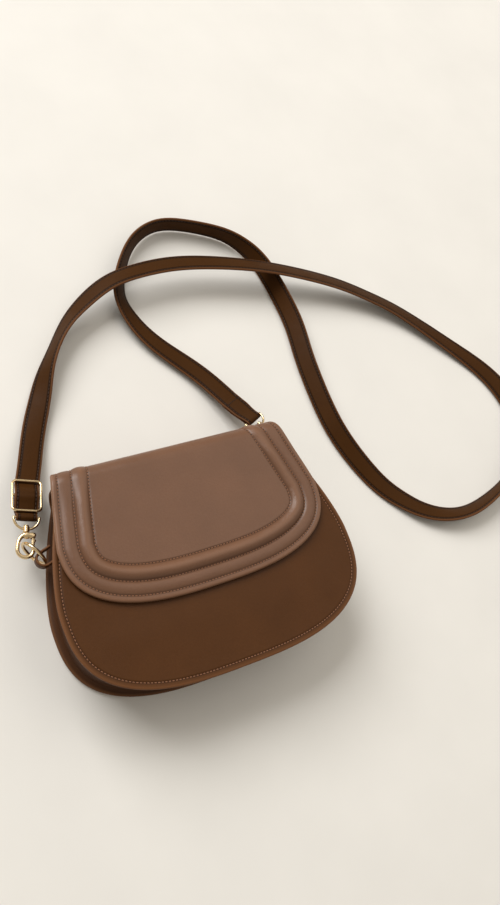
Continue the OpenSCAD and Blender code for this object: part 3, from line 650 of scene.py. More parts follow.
def bump(tree, shader, height, distance, strength, below=None):
    made = node(tree, "ShaderNodeBump", Strength=strength, Distance=distance)
    tree.links.new(height, made.inputs["Height"])
    if below is not None:
        tree.links.new(below, made.inputs["Normal"])
    tree.links.new(made.outputs["Normal"], shader.inputs["Normal"])
    return made.outputs["Normal"]


def shaded(colour, share):
    return tuple(share * c for c in colour)


def leather(name, colour, worn, roughness, gloss):
    """Smooth leather: fine grain and pores, cloudy dye, lighter where it is rubbed, and painted shade in its
    seam grooves.
    """
    material, tree, shader = new_material(name)
    clouds = ramp(tree, noise_map(tree, 28.0, 4.0), 0.0, 1.0)
    dye = mix_colours(tree, clouds, shaded(colour, 0.9), shaded(colour, 1.06))
    grain = ramp(tree, noise_map(tree, 700.0, 5.0), 0.0, 0.35)
    fine = mix_colours(tree, grain, dye, shaded(colour, 0.7))
    wear_and_shade = node(tree, "ShaderNodeAttribute", attribute_name="wear_and_shade").outputs["Fac"]
    rubbed = mix_colours(tree, ramp(tree, wear_and_shade, 0.0, 1.0, 0.0, 1.0), fine, worn)
    # painted shade: below zero the colour darkens towards a quarter of the leather's, for the shade in the
    # seam grooves
    painted_shade = mix_colours(tree, ramp(tree, wear_and_shade, 1.0, 0.0, -1.0, 0.0), rubbed, shaded(colour, 0.25))
    tree.links.new(painted_shade, shader.inputs["Base Color"])
    patches = ramp(tree, noise_map(tree, 90.0, 4.0), roughness - 0.05, roughness + 0.07)
    tree.links.new(patches, shader.inputs["Roughness"])
    pores = texture(tree, "ShaderNodeTexVoronoi", feature="DISTANCE_TO_EDGE", Scale=1300.0, Randomness=0.95)
    cells = bump(tree, shader, ramp(tree, pores["Distance"], 0.0, 1.0, 0.0, 0.25), 0.00006, 0.5)
    bump(tree, shader, noise_map(tree, 420.0, 6.0, 0.6), 0.00022, 0.55, below=cells)
    shader.inputs["Specular IOR Level"].default_value = gloss
    return material


def cloth(name, colour, thread=0.00045):
    """A plain weave with a little slub."""
    material, tree, shader = new_material(name)
    weave = node(tree, "ShaderNodeMath", operation="MULTIPLY")
    for direction, factor in zip(("X", "Y"), weave.inputs):
        wave = texture(tree, "ShaderNodeTexWave", wave_type="BANDS", bands_direction=direction,
                       Scale=0.3 / thread, Distortion=0.6, Detail=1.0)
        tree.links.new(wave["Fac"], factor)
    slub = mix_colours(tree, ramp(tree, noise_map(tree, 60.0), 0.0, 1.0), shaded(colour, 0.85), colour)
    tone = mix_colours(tree, ramp(tree, weave.outputs[0], 0.0, 0.4, 0.0, 1.0), slub, shaded(colour, 1.25))
    tree.links.new(tone, shader.inputs["Base Color"])
    shader.inputs["Roughness"].default_value = 0.85
    shader.inputs["Specular IOR Level"].default_value = 0.2
    bump(tree, shader, weave.outputs[0], thread / 3, 0.6)
    return material


def metal(name, colour, roughness):
    """Polished plate with faint handling marks."""
    material, tree, shader = new_material(name)
    shader.inputs["Metallic"].default_value = 1.0
    tone = mix_colours(tree, ramp(tree, noise_map(tree, 220.0), 0.0, 1.0), colour, shaded(colour, 0.88))
    tree.links.new(tone, shader.inputs["Base Color"])
    marks = ramp(tree, noise_map(tree, 500.0, 5.0), roughness, roughness + 0.12)
    tree.links.new(marks, shader.inputs["Roughness"])
    bump(tree, shader, noise_map(tree, 900.0, 4.0), 0.00002, 0.4)
    return material


def matte(name, colour, roughness=0.8, scale=300.0, depth=0.0001, shade=0.85):
    """Thread, board and paint: a dull mottled surface."""
    material, tree, shader = new_material(name)
    tone = mix_colours(tree, ramp(tree, noise_map(tree, scale), 0.0, 1.0), shaded(colour, shade), colour)
    tree.links.new(tone, shader.inputs["Base Color"])
    shader.inputs["Roughness"].default_value = roughness
    bump(tree, shader, noise_map(tree, scale * 2, 5.0), depth, 0.5)
    return material


FLAP_LEATHER = leather("flap_leather", (0.146, 0.067, 0.034), worn=(0.28, 0.14, 0.075),
                       roughness=0.35, gloss=0.42)
# painted shade: the body is the flap's own leather at about half its colour, as if under the flap's shadow
BODY_LEATHER_PAINTED_SHADE = leather("body_leather_painted_shade", (0.073, 0.0265, 0.0068), worn=(0.21, 0.09, 0.038),
                       roughness=0.42, gloss=0.13)
# painted shade: the same leather again, darker still, for the side walls turned away from the light
GUSSET_LEATHER_PAINTED_SHADE = leather("gusset_leather_painted_shade", (0.060, 0.022, 0.007), worn=(0.14, 0.06, 0.025),
                         roughness=0.46, gloss=0.14)
STRAP_LEATHER = leather("strap_leather", (0.050, 0.0185, 0.0040), worn=(0.16, 0.068, 0.030),
                        roughness=0.44, gloss=0.05)
THREAD = matte("thread", (0.25, 0.105, 0.046), roughness=0.6, scale=1500.0, depth=0.00008)
STRAP_THREAD = matte("strap_thread", (0.05, 0.02, 0.009), roughness=0.6, scale=1500.0, depth=0.00008)
# painted shade: a near-black thread that also stands in for the shade along the step where the strap's end is
# sewn down
CROSS_THREAD_AND_SHADE = matte("cross_thread_and_shade", (0.012, 0.005, 0.003), roughness=0.95, scale=1500.0, depth=0.00008)
# painted shade: the needle holes are small near-black shapes standing for the shade inside the holes
HOLE_SHADE = matte("needle_hole_shade", (0.012, 0.004, 0.002), roughness=0.9)
LINING = cloth("lining", (0.30, 0.21, 0.14))
POCKET = cloth("pocket", (0.27, 0.19, 0.12))
TAPE = cloth("tape", (0.10, 0.06, 0.045), thread=0.0003)
GOLD = metal("pale_gold", (0.80, 0.61, 0.36), roughness=0.13)
STEEL = metal("steel", (0.6, 0.6, 0.62), roughness=0.3)
BOARD = matte("board", (0.4, 0.38, 0.35))


# Stitching

def stitch_places(line, up, pitch):
    """The middle of each stitch along a line, and its directions: along the seam, across it and up."""
    run = distances(line)
    count = int(run[-1] / pitch)
    middle = (np.arange(count) + 0.5) * run[-1] / count
    reach = BEAD_END_SHARE * pitch
    along = unit(on_line(line, run, middle + reach) - on_line(line, run, middle - reach))
    rise = unit(on_line(np.broadcast_to(up, line.shape), run, middle))
    across = unit(np.cross(along, rise))
    return on_line(line, run, middle), along, across, np.cross(across, along)


def copies(name, places, shape, faces, material):
    """One small shape at each place. Its points are distances along the seam, across it and up."""
    at, along, across, rise = places
    points = [at + x * along + y * across + z * rise for x, y, z in shape]
    return piece(name, np.stack(points, axis=1), repeated(faces, len(shape), len(at)), material)


def stitches(name, line, up, material, slot, pitch=STITCH_PITCH, size=THREAD_W, hole_r=None):
    """Slim beads of thread along a line, which dip into the leather at both ends, with small dark shapes of
    painted shade for the needle holes between them where a hole's radius is given. up is one direction, or
    one for each point."""
    places = stitch_places(line, up, pitch)
    bead = [(step * pitch, r * size * math.cos(a), (lift + r * math.sin(a)) * size)
            for step, r, lift in BEAD_SHARES for a in round_angles(BEAD_SIDES)]
    made = [copies(name, places, bead, tube_faces(len(BEAD_SHARES), BEAD_SIDES), material)]
    if hole_r is not None:
        sink = HOLE_SINK_SHARE * size
        hole = [(pitch / 2 + hole_r * x, hole_r * y, hole_r * z - sink) for x, y, z in HOLE_SHARES]
        made.append(copies(name + "_hole_shades", places, hole, HOLE_FACES, HOLE_SHADE))
    return made


def bag_seam(name, line, up, material=THREAD, slot="leather", **sizes):
    """A seam on a piece that stays with the bag."""
    made = stitches(name, line, up, material, slot, **sizes)
    for thread in made:
        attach(thread, "bag")
    return made


# The flap

def flap_profile(d):
    """Height of the flap's face at a distance from its edge: rim, border, padded ridge and seams."""
    border = hump(d, *BORDER, power=0.8) * BORDER_H
    ridge = hump(d, *RIDGE, power=0.75) * RIDGE_H
    groove = sum(SEAM_DEPTH * bell(d, seam, GROOVE_W) for seam in FLAP_SEAMS.values())
    return border + ridge + RIM_H * bell(d, RIM_D, RIM_W) - groove


def flap_lift(d, x, s, h):
    """Final height on the flap: the relief fades into the lap, and the rim droops to the front panel."""
    lap = LAP_RISE * (1 - smoothstep(*LAP_FADE, s))
    droop = DROOP_H * (1 - smoothstep(0, DROOP_W, d)) * smoothstep(FRONT_S, FRONT_S + DROOP_W, s)
    if h < 0:
        return h * (1 - LAP_THINNING * (1 - smoothstep(*LAP_STEP, s))) + lap - droop
    grown = FOLD_RELIEF + (1 - FOLD_RELIEF) * smoothstep(*RELIEF_GROW, s - FRONT_S)
    relief = flap_profile(d) * smoothstep(*RELIEF_FADE, s) * grown
    soft = ripple(points_of(x, s, 0), height=0.22, size=42, seed=3.1) * smoothstep(*WINDOW_FADE, d)
    return h + relief + lap - droop + soft


def flap_edge_levels():
    """Levels from the window out over the relief, round the rim and back along the turned edge underneath."""
    face = [(float(d), 0.0) for d in np.arange(WINDOW_D, FLAP_RIM_W, -0.45)]
    under = [(d, -TURNED_T) for d in (1.6, 3.5, 5.2)] + [(5.7, -3.3)]
    under += [(d, -FLAP_T) for d in (TURNED_W, 10.0, WINDOW_D)]
    return face + rim_levels(FLAP_RIM_W, FLAP_RIM_HALF_T, 9) + under


def flap_wear_and_shade(d, h):
    """Rubbed at the edge and on the ridge's crest, with painted shade in the seams' grooves."""
    edge = 0.4 * bell(d, middle=0, width=2.2)
    if h < -0.5:
        return edge
    crest = 0.2 * bell(d, CREST_D, width=2.5)
    # painted shade: the seams' grooves darkened
    groove = sum(0.75 * bell(d, seam, GROOVE_SHADE_W) for seam in FLAP_SEAMS.values())
    return min(1.0, edge + crest) - groove


def blend_flap(obj):
    """Bakes the piece's place into its mesh."""
    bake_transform(obj)


def flap_seam(name, line, up):
    for made in stitches(name, line, up, THREAD, "leather", hole_r=HOLE_R):
        blend_flap(made)


def make_flap():
    line, inward = flap_line(-LAP_L)
    flap = u_sheet("flap_shell", line, inward, bend_flap, flap_edge_levels(), flap_lift, FLAP_LEATHER,
                   wear_and_shade=flap_wear_and_shade)
    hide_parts("flap")
    blend_flap(flap)
    sewn = line[:, 1] > 2
    for label, inset in FLAP_SEAMS.items():
        at, up = seam_on(bend_flap, line, inward, inset, flap_lift)
        flap_seam("flap_stitch_" + label, at[sewn], up[sewn])


def make_flap_lining():
    line, inward = flap_line(FLAP_LINING_ROOT_S, 3.0)
    rim = TURNED_W + 0.3
    low, top = FLAP_LINING_H
    levels = [(FLAP_LINING_W, low), (rim, low), (TURNED_W, -3.1), (rim, top), (FLAP_LINING_W, top)]
    lining = u_sheet("flap_lining_cloth", line, inward, bend_flap, levels, flap_lift, LINING,
                     columns=24)
    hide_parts("flap_lining")
    blend_flap(lining)


def make_hinge_seam():
    x = span(FLAP_ROOT_HALF_W - HINGE_SEAM_IN, 120)
    s = np.full(len(x), HINGE_SEAM_S)
    flap_seam("hinge_stitch", bend_flap(x, s, flap_lift(BAG_W, x, s, 0.0) + EDGE_SINK), (0, 1, 0))


# The panels

def panel_profile(d):
    return PANEL_RIM_H * bell(d, RIM_D, RIM_W) - PANEL_SEAM_DEPTH * bell(d, EDGE_SEAM, GROOVE_W)


def front_lift(d, x, y, h):
    """The front panel's height: its rim and seam, and a low uneven crown where the flap doesn't cover it."""
    if h < 0:
        return h
    crown = CROWN_H * smoothstep(*CROWN_FADE, d)
    soft = ripple(points_of(x, y, 0), height=0.25, size=55, seed=7.7) * smoothstep(5, 40, d)
    return h + panel_profile(d) + (crown + soft) * smoothstep(*BELOW_FLAP, y)


def back_lift(d, x, s, h):
    return h if h < 0 else h + panel_profile(d)


def edge_levels(inner):
    """Levels of a panel with a rounded edge, from inner on its face round to inner underneath."""
    half_t = PANEL_T / 2
    face = [(float(d), 0.0) for d in np.arange(inner, 1.2, -0.6)]
    return face + rim_levels(0.9 * half_t, half_t, 7) + [(1.5, -PANEL_T), (inner, -PANEL_T)]


def panel_wear_and_shade(d, h):
    # painted shade: the seam's groove darkened on the face
    groove = 0.75 * bell(d, EDGE_SEAM, GROOVE_SHADE_W) if h > -0.5 else 0
    return 0.6 * bell(d, middle=0, width=2.0) - groove


def make_front():
    line, inward = panel_line(MOUTH_Y)
    bend = lie_flat(BAG_D)
    front = u_sheet("front_shell", line, inward, bend, edge_levels(20.0), front_lift, BODY_LEATHER_PAINTED_SHADE,
                    wear_and_shade=panel_wear_and_shade)
    stand_in(front, "front_panel")
    bag_seam("front_stitch", *seam_on(bend, line, inward, EDGE_SEAM, front_lift), hole_r=HOLE_R)


def make_mouth():
    """The binding over the front panel's upper edge, and the seam under it."""
    x = span(float(side_half_w(MOUTH_Y)) - BINDING_INSET, 90)
    middle = (MOUTH_Y + BINDING_RISE, BAG_D - PANEL_T / 2)
    section = [(middle[0] + 1.1 * BINDING_R * math.cos(a), middle[1] + BINDING_R * math.sin(a))
               for a in round_angles(15)]
    rings = [[(px, y, z) for y, z in section] for px in x]
    binding = sweep("mouth_binding", rings, BODY_LEATHER_PAINTED_SHADE, [0.35] * len(section))
    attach(binding, "bag")
    at = points_of(x, MOUTH_Y - MOUTH_SEAM_DROP, BAG_D - SEAM_SINK)
    bag_seam("mouth_stitch", at, (0, 0, 1), hole_r=HOLE_R)


def back_outline(spacing):
    """The back panel laid flat, from the hinge line down its wall and round the plate, as a U of (x, s)."""
    line, _ = panel_line(PLATE_Y / depth_share(0), spacing)
    line = line * depth_share(0)
    plate_s = BACK_WALL_L + ARC_L
    plate = points_of(line[:, 0], plate_s + PLATE_Y - line[:, 1])
    wall_s = np.arange(0, plate_s - 0.5, 2.0)
    wall_x = FLAP_ROOT_HALF_W + (line[-1, 0] - FLAP_ROOT_HALF_W) * wall_s / plate_s
    half = np.concatenate([plate[len(plate) // 2:], points_of(wall_x, wall_s)[::-1]])
    flat, inward = mirrored(half, spacing)
    return flat, -inward


def make_back():
    flat, inward = back_outline(2.5)
    back = u_sheet("back_shell", flat, inward, bend_back, edge_levels(14.0), back_lift, BODY_LEATHER_PAINTED_SHADE,
                   columns=30, wear_and_shade=panel_wear_and_shade)
    stand_in(back, "back_panel")
    bag_seam("back_stitch", *seam_on(bend_back, flat, inward, EDGE_SEAM, back_lift))


# The gusset

def gusset_wobble(run, z):
    """Small unevenness of the gusset's wall at a distance along it and a depth."""
    broad = noise.noise(Vector((run / 26, z / 24, 1.7)))
    fine = noise.noise(Vector((run / 9, z / 16, 4.2)))
    return 0.7 * broad + 0.25 * fine


def wall_rings(line, inward, spacing, section):
    """Rings of a wall along the outline. Its section lists depth, inset and how free it is to wobble."""
    def place(i, z, inset, free):
        at = line[i] + (inset + free * gusset_wobble(i * spacing, z)) * inward[i]
        return (*(at * depth_share(z)), z)
    return [[place(i, *level) for level in section] for i in range(len(line))]


def drawn_in(low, high, inset, margin, steps):
    """The wall between the flanges, drawn in towards the middle of its depth."""
    wall = []
    for z in np.linspace(low + margin, high - margin, steps):
        bulge = math.sin(math.pi * ((z - low) / (high - low)))
        wall.append((z, inset + GUSSET_DRAW * bulge, bulge))
    return wall


def make_gusset():
    spacing = 2.5
    line, inward = panel_line(GUSSET_Y, spacing)
    low, high = PANEL_T, BAG_D - PANEL_T
    inside = FLANGE_W + GUSSET_T
    outer = [(low + z, inset, 0) for z, inset in LIP] + drawn_in(low, high, FLANGE_W, margin=2.6, steps=17)
    outer += [(high - z, inset, 0) for z, inset in LIP[::-1]]
    inner = drawn_in(low, high, inside, margin=2.0, steps=9)
    section = outer + [(high, inside + INNER_STEP, 0)] + inner[::-1] + [(low, inside + INNER_STEP, 0)]
    worn = [0.7 if inset < 1 else 0 for z, inset, free in section]
    rings = wall_rings(line, inward, spacing, section)
    gusset = sweep("gusset_shell", rings, GUSSET_LEATHER_PAINTED_SHADE, worn)
    stand_in(gusset, "gusset")


def make_gusset_lining():
    spacing = 3.0
    line, inward = panel_line(GUSSET_Y - GUSSET_LINING_DROP, spacing)
    inset = FLANGE_W + GUSSET_DRAW + GUSSET_T + GUSSET_LINING_GAP
    depths = np.linspace(BACK_LINING_Z + LINING_T + LINING_GAP, FRONT_LINING_Z - LINING_GAP, 9)
    section = [(z, inset, 0) for z in depths] + [(z, inset + LINING_T, 0) for z in depths[::-1]]
    lining = sweep("gusset_lining_cloth", wall_rings(line, inward, spacing, section), LINING)
    stand_in(lining, "gusset_lining")


# The lining

def flat_lining(name, z, *nodes):
    """A flat cloth over a panel, up to the mouth."""
    line, inward = panel_line(MOUTH_Y, 4.0)
    far = LINING_MARGIN + LINING_RIM
    levels = [(far, 0.0), (LINING_MARGIN, 0.0), (LINING_MARGIN, -LINING_T), (far, -LINING_T)]
    cloth_sheet = u_sheet(name, line * depth_share(z), inward, lie_flat(z + LINING_T), levels,
                          lambda inset, x, y, h: h, LINING, columns=24)
    stand_in(cloth_sheet, *nodes)


def pocket_slack(x):
    return POCKET_SLACK * (1 - (x / POCKET_HALF_W) ** 4)


def pocket_height(x, y):
    """The sewn edges lie against the lining, and the open one hangs a little slack."""
    slack = pocket_slack(x) * float(smoothstep(POCKET_LOW_Y, POCKET_TOP_Y, y))
    if abs(x) <= POCKET_SIDE_X and y >= POCKET_LOW_Y + POCKET_SEAM_W:
        return -slack
    sewn = max(abs(x) / POCKET_HALF_W, 1 - (y - POCKET_LOW_Y) / POCKET_SEAM_W) ** 24
    return POCKET_SEWN * sewn - slack


def make_pocket():
    """The slip pocket: a patch whose open top edge stands a little away from the lining."""
    z = FRONT_LINING_Z - POCKET_OUT
    xs = span(POCKET_HALF_W, 33)
    ys = np.linspace(POCKET_LOW_Y, POCKET_TOP_Y, 17)
    face = np.array([(x, y, z + pocket_height(x, y)) for y in ys for x in xs])
    rows, columns, under = len(ys), len(xs), len(face)
    faces = grid_faces(rows, columns) + [f[::-1] for f in grid_faces(rows, columns, start=under)]
    rim = grid_rim(rows, columns)
    faces += [(a, b, b + under, a + under) for a, b in zip(rim, rim[1:] + rim[:1])]
    points = np.concatenate([face, face - [0, 0, LINING_T]])
    pocket = outward(piece("slip_pocket_cloth", points, faces, POCKET))
    stand_in(pocket, "slip_pocket")
    x = span(POCKET_HALF_W - POCKET_HEM, 60)
    at = points_of(x, POCKET_TOP_Y - POCKET_HEM, z - LINING_T - pocket_slack(x))
    bag_seam("pocket_stitch", at, (0, 0, -1), slot="lining")


# The strap and its ends

def strap_section(half_w, half_t):
    """A padded strap's section: rounded edges, a seam's groove near each and a low crown."""
    top = [(half_w * x, half_t * z) for x, z in FACE_SHARES]
    right = top + [(x, -z) for x, z in top[-2::-1]]
    left = [(-x, z) for x, z in right[-2:0:-1]]
    return right + left


def strap_wear_and_shade(share):
    return next((wear_and_shade for low, wear_and_shade in WEAR_AND_SHADE_SHARES if share > low), 0.0)


def strap_frames(line):
    """A route's points, and the directions across the strap's width and out of its face."""
    at = line[:, :3]
    along = unit(np.gradient(at, axis=0))
    side = unit(side_normals(at))
    lean = np.radians(line[:, 3])[:, None]
    across = np.cos(lean) * side + np.sin(lean) * np.array([0, 0, 1.0])
    wide = unit(across - (across * along).sum(1, keepdims=True) * along)
    return at, wide, np.cross(along, wide)


def make_strap(extras):
    line = smoothed(resample(catmull(ROUTE, 1600), STRAP_STEP), STRAP_BLUR / STRAP_STEP)
    at, wide, up = strap_frames(line)
    section = strap_section(STRAP_W / 2, STRAP_T / 2)
    wave = ripple(at, height=0.12, size=30, seed=2.2)
    rings = [[at[i] + x * wide[i] + (z + wave[i]) * up[i] for x, z in section] for i in range(len(at))]
    # worn carries rubbed wear and the painted shade of the seams' grooves
    worn = [strap_wear_and_shade(abs(x) * 2 / STRAP_W) for x, z in section]
    strap = sweep("strap_band", rings, STRAP_LEATHER, worn)
    stand_in(strap, "strap")
    for label, (side, face) in SEAM_SIDES.items():
        run = at + side * SEAM_SHARE * STRAP_W / 2 * wide + face * SEAM_HEIGHT_SHARE * STRAP_T / 2 * up
        extras += bag_seam("strap_stitch_" + label, run, face * up, STRAP_THREAD, "strap_leather",
                           **STRAP_STITCH)


def placed(frame_at, points):
    """Points in a fitting's own frame, with +Y up the strap, moved to their place."""
    origin, turn, pitch = frame_at
    move = (Matrix.Translation(origin) @ Matrix.Rotation(math.radians(turn), 4, "Z")
            @ Matrix.Rotation(math.radians(pitch), 4, "X"))
    points = np.asarray(points, float)
    return np.array([move @ Vector(p) for p in points.reshape(-1, 3)]).reshape(points.shape)


def loop_band(name, path, frame_at, wide, taper):
    """A strip of leather along a path of (y, z) in a fitting's frame, with its seams. It widens over the two
    values of y in taper."""
    line = resample(catmull([(0, y, z) for y, z in path], 400), 0.8)
    along = unit(np.gradient(line, axis=0))
    normal = points_of(0, -along[:, 2], along[:, 1])
    half = (LOOP_W + (wide - LOOP_W) * smoothstep(*taper, line[:, 1])) / 2
    section = strap_section(1.0, END_T / 2)
    rings = [[line[i] + [half[i] * x, 0, 0] + z * normal[i] for x, z in section] for i in range(len(line))]
    # worn carries rubbed wear and the painted shade of the seams' grooves
    worn = [strap_wear_and_shade(abs(x)) for x, z in section]
    band = sweep(name, placed(frame_at, rings), STRAP_LEATHER, worn)
    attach(band, "bag")
    made = [band]
    for label, (side, face) in sorted(SEAM_SIDES.items()):
        run = line + face * SEAM_HEIGHT_SHARE * END_T / 2 * normal
        run[:, 0] += side * SEAM_SHARE * half
        top = placed(frame_at, run)
        up = placed(frame_at, run + face * normal) - top
        made += bag_seam(f"{name}_stitch_{label}", top, up, STRAP_THREAD, "strap_leather", **STRAP_STITCH)
    return made


def wrap(y, first):
    """The turn round the eye's bar: 240 degrees of (y, z) round a bar at y."""
    r = EYE_WIRE_R + WRAP_GAP + END_T / 2
    return [(y + r * math.cos(a), r * math.sin(a)) for a in np.radians(np.arange(first, first + 241, 30))]


def make_left_end():
    """The adjustable end: under the slider's lower bar, over its middle and back round the eye."""
    wire = SLIDER_WIRE_R
    bar = SLIDER_L / 2 - wire
    mid = wire + WRAP_GAP + END_T / 2
    over = [(bar - 2 * wire, -mid), (bar * 0.55, -0.2 * mid), (bar * 0.2, 0.95 * mid), (0, mid),
            (-bar * 0.2, 0.95 * mid), (-bar * 0.55, -0.1 * mid), (-bar * 0.94, -mid),
            (-bar - 1.5 * wire, -0.94 * mid)]
    back = [(-bar - 2.7 * wire, -1.6 * mid), (-bar, -mid - END_T - WRAP_GAP), (-bar / 2, -1.35 * mid),
            (bar / 5, -0.95 * mid)]
    made = loop_band("strap_left_loop", over + wrap(-EYE_REACH, 30) + back, SLIDER, LEFT_END_W,
                     (2 - EYE_REACH, 3 - bar))
    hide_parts("strap_left_end")
    return made


def make_right_end():
    """The sewn end: down to the eye, round it and back under itself, with a short seam across."""
    close = (END_T + SEWN_GAP) / 2
    down = [(SEWN_L * share, close) for share in (1, 0.6, 0.3)]
    back = [(y, -z) for y, z in down[::-1]]
    made = loop_band("strap_right_loop", down + wrap(0, 60) + back, RIGHT_END, STRAP_W - END_SIDE_GAP,
                     (2, 15))
    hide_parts("strap_right_end")
    x = span(CROSS_SEAM_SHARE, 20) * STRAP_W
    run = points_of(x, CROSS_SEAM_Y, close + CROSS_SEAM_HEIGHT_SHARE * END_T)
    at = placed(RIGHT_END, run)
    up = placed(RIGHT_END, run + [0, 0, 1]) - at
    # the cross seam's thread carries painted shade of the step it is sewn on
    return made + bag_seam("strap_cross_stitch", at, up, CROSS_THREAD_AND_SHADE, "strap_leather", **CROSS_STITCH)


# The side tabs and the snap hooks

def tab_path():
    """From one end of a tab's leather out along the bag's side, round the ring and back."""
    r = TAB_R - TAB_T / 2
    leg = TAB_OUT + FLANGE_W + GUSSET_DRAW + TAB_SEWN
    out = [(i * TAB_NECK - leg, r) for i in range(3)] + [(-TAB_NECK, r)]
    turn = [(r * math.sin(a), r * math.cos(a)) for a in np.linspace(0, math.pi, 13)]
    return resample(with_zeros(out + turn + [(x, -y) for x, y in out[::-1]]), 0.9)


def make_tab(name, side, y, z):
    e = 0.2
    slope = math.atan(float(side_half_w(y + e) - side_half_w(y - e)) / (2 * e))
    turn = slope if side > 0 else math.pi - slope
    c, s = math.cos(turn), math.sin(turn)
    spin = np.array([[c, -s, 0], [s, c, 0], [0, 0, 1.0]])
    centre = np.array([side * (float(side_half_w(y)) + TAB_OUT), y, z])
    line = tab_path()
    section = strap_section(TAB_W / 2, TAB_T / 2)
    rings = [[centre + spin @ (at + [0, 0, w] + t * out) for w, t in section]
             for at, out in zip(line, side_normals(line))]
    worn = [0.6 if abs(w) > RUBBED_SHARE * TAB_W / 2 else 0.1 for w, t in section]
    tab = sweep(name + "_tab_leather", rings, BODY_LEATHER_PAINTED_SHADE, worn)
    stand_in(tab, name + "_tab")


def rounded_levels(thickness, radius):
    """Heights through a plate and how far its rounded edge draws in at each, below and above."""
    flat = thickness / 2 - radius
    high = [(flat + radius * math.sin(a), radius - radius * math.cos(a)) for a in np.linspace(0, 1.3, 5)]
    return [(-z, inset) for z, inset in high[::-1]], high


def plate_rings(outline, levels):
    """A plate's outline at its levels. The outline runs clockwise."""
    along = unit(np.roll(outline, -1, axis=0) - np.roll(outline, 1, axis=0))
    inward = points_of(along[:, 1], -along[:, 0])
    return [points_of(*(outline + inset * inward).T, z) for z, inset in levels]


def hook_pin():
    return [[(r * math.cos(a), -y, r * math.sin(a)) for a in round_angles(24)] for y, r in PIN]


def hook_knuckle():
    """The knuckle, a waisted oval plate with a slot for the gate between its cheeks."""
    left, right = KNUCKLE_X
    top, bottom = KNUCKLE_Y
    x = cosine_steps(left, right, 25)
    share = np.abs(2 * (x - left) / (right - left) - 1)
    half = (bottom - top) / 2 * (1 - share ** 2.8) ** (1 / 2.2) - WAIST_D * bell(x, WAIST_X, WAIST_W)
    middle = -(bottom + top) / 2
    outline = np.concatenate([points_of(x, middle + half), points_of(x, middle - half)[-2:0:-1]])
    low, high = rounded_levels(KNUCKLE_W, KNUCKLE_ROUND)
    cheeks = [(-SLOT_W / 2, 0), (SLOT_W / 2, 0)]
    core = plate_rings(outline, cheeks)
    for ring in core:
        ring[:, 0] = np.minimum(ring[:, 0], SLOT_X)
    return plate_rings(outline, low + cheeks[:1]) + core + plate_rings(outline, cheeks[1:] + high)


def hook_bow():
    """The bent wire, from inside the knuckle over the shoulder, down and round the bow to the nose."""
    arc = [(HOOK_ARC_R * math.cos(a), -HOOK_ARC_Y + HOOK_ARC_R * math.sin(a))
           for a in np.linspace(math.pi, 2 * math.pi, 13)]
    nose = [(HOOK_ARC_R, -NOSE_Y), (HOOK_ARC_R, -NOSE_Y + HOOK_WIRE_R)]
    line = resample(catmull(with_zeros(SHOULDER + arc + nose), 600), BOW_STEP)
    run = np.arange(len(line)) * BOW_STEP
    to_nose = np.clip(1 - (run[-1] - run) / HOOK_WIRE_R, 0, NOSE_ROUND_SHARE)
    radius = HOOK_WIRE_R + SHOULDER_THICKER * (1 - smoothstep(0, SHOULDER_L, run))
    radius = radius * np.sqrt(1 - to_nose ** 2)
    return [[at + r * (math.cos(a) * out + math.sin(a) * np.array([0, 0, 1.0])) for a in round_angles(24)]
            for at, r, out in zip(line, radius, side_normals(line))]


def make_hook(side, frame_at):
    points, faces = [], []
    for rings in (hook_pin(), hook_knuckle(), hook_bow()):
        faces += tube_faces(len(rings), len(rings[0]), start=len(points))
        points += [p for ring in rings for p in ring]
    hook = outward(piece(side + "_hook_body", placed(frame_at, points), faces, GOLD))
    stand_in(hook, side + "_hook", body=side + "_hook")


def make_gate(side, frame_at):
    """A round head on its pin, and a shank with a thumb's nub that closes the hook."""
    y = cosine_steps(GATE_Y - GATE_HEAD_R, GATE_END_Y, 49)
    head = np.sqrt(np.maximum(GATE_HEAD_R ** 2 - (y - GATE_Y) ** 2, 0))
    to_end = np.clip(1 - (GATE_END_Y - y) / GATE_HALF_W, 0, 1)
    shank = np.where(y > GATE_Y, GATE_HALF_W, 0) * np.sqrt(np.maximum(1 - to_end ** 2, 0))
    half = np.maximum(head, shank)
    nub = NUB_H * bell(y, (GATE_Y + GATE_END_Y) / 2, NUB_W)
    outline = np.concatenate([points_of(GATE_X - half, -y)[::-1], points_of(GATE_X + half + nub, -y)[1:-1]])
    low, high = rounded_levels(GATE_T, GATE_ROUND)
    rings = placed(frame_at, plate_rings(outline, low + high))
    gate = sweep(side + "_gate_body", rings, GOLD)
    stand_in(gate, side + "_gate", body=side + "_gate")


def finish_cad_nodes():
    """Gives each CAD node that stays the finish of its slot."""
    finishes = {"pale_gold": GOLD, "steel": STEEL, "tape": TAPE, "board": BOARD, "lining": LINING}
    for part in frame["record"]["subparts"]:
        material = finishes.get(part["material_slot"])
        obj = frame["nodes"].get(part["node"])
        if material is None or obj is None:
            continue
        if not obj.material_slots:
            obj.data.materials.append(material)
        for slot in obj.material_slots:
            slot.material = material


# Stage, light and camera

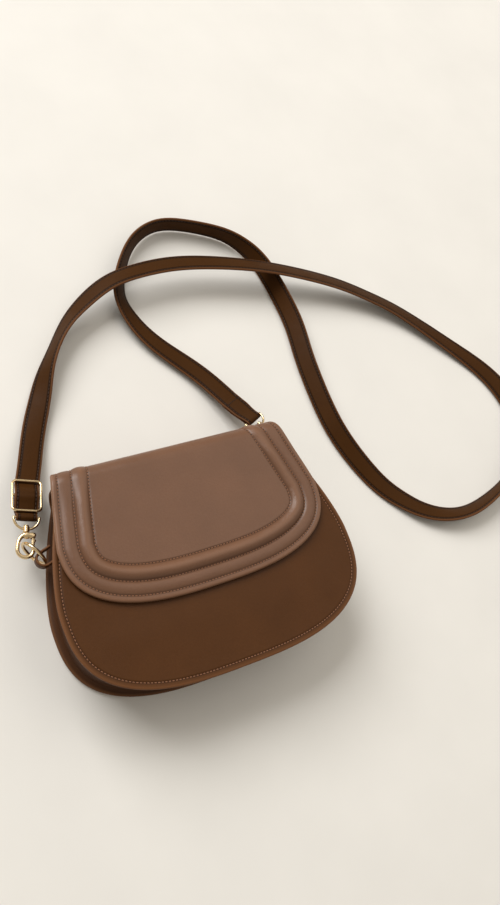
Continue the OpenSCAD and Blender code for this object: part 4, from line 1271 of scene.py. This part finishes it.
def make_stage():
    corners = [(x * FLOOR_HALF, y * FLOOR_HALF, FLOOR_Z) for x, y in ((-1, -1), (1, -1), (1, 1), (-1, 1))]
    paint = matte("floor_paint", (0.73, 0.712, 0.675), roughness=0.75, scale=12.0, shade=0.96)
    floor = piece("floor", corners, [(0, 1, 2, 3)], paint)
    world = bpy.data.worlds.new("studio")
    world.use_nodes = True
    background = world.node_tree.nodes["Background"]
    background.inputs["Color"].default_value = WORLD_COLOUR
    background.inputs["Strength"].default_value = WORLD_STRENGTH
    bpy.context.scene.world = world
    for name, (place, size, power, colour) in LAMPS.items():
        light = bpy.data.lights.new(name, "AREA")
        light.size = size
        light.energy = power
        light.color = colour
        lamp = bpy.data.objects.new(name, light)
        lamp.location = place
        lamp.rotation_euler = (LAMP_AIM - Vector(place)).to_track_quat("-Z", "Y").to_euler()
        bpy.context.scene.collection.objects.link(lamp)


def make_camera():
    a, e, roll = (math.radians(v) for v in (CAMERA_AZIMUTH, CAMERA_ELEVATION, CAMERA_ROLL))
    back = Vector((math.sin(a) * math.cos(e), -math.cos(a) * math.cos(e), math.sin(e)))
    right = Vector((math.cos(a), math.sin(a), 0))
    up = back.cross(right)
    right, up = math.cos(roll) * right + math.sin(roll) * up, math.cos(roll) * up - math.sin(roll) * right
    data = bpy.data.cameras.new("camera")
    data.sensor_fit = "AUTO"
    data.sensor_width = SENSOR
    data.lens = CAMERA_FOCAL_PX / FRAME_H_PX * SENSOR
    data.clip_start = 0.01
    data.clip_end = 20
    camera = bpy.data.objects.new("camera", data)
    place = (CAMERA_TARGET + back * CAMERA_DISTANCE) * MM
    camera.matrix_world = Matrix.Translation(place) @ Matrix((right, up, back)).transposed().to_4x4()
    bpy.context.scene.collection.objects.link(camera)
    bpy.context.scene.camera = camera


make_camera()
make_stage()
make_strap(make_left_end() + make_right_end())
make_back()
make_gusset()
make_gusset_lining()
make_front()
make_mouth()
make_flap()
make_flap_lining()
make_hinge_seam()
flat_lining("back_lining_cloth", BACK_LINING_Z, "back_lining", "zip_pouch")
flat_lining("front_lining_cloth", FRONT_LINING_Z, "front_lining")
make_pocket()
for tab_name, tab_at in TABS.items():
    make_tab(tab_name, *tab_at)
for hook_side, hook_frame in HOOKS.items():
    make_hook(hook_side, hook_frame)
    make_gate(hook_side, hook_frame)
finish_cad_nodes()
bpy.context.scene.view_settings.view_transform = "Standard"
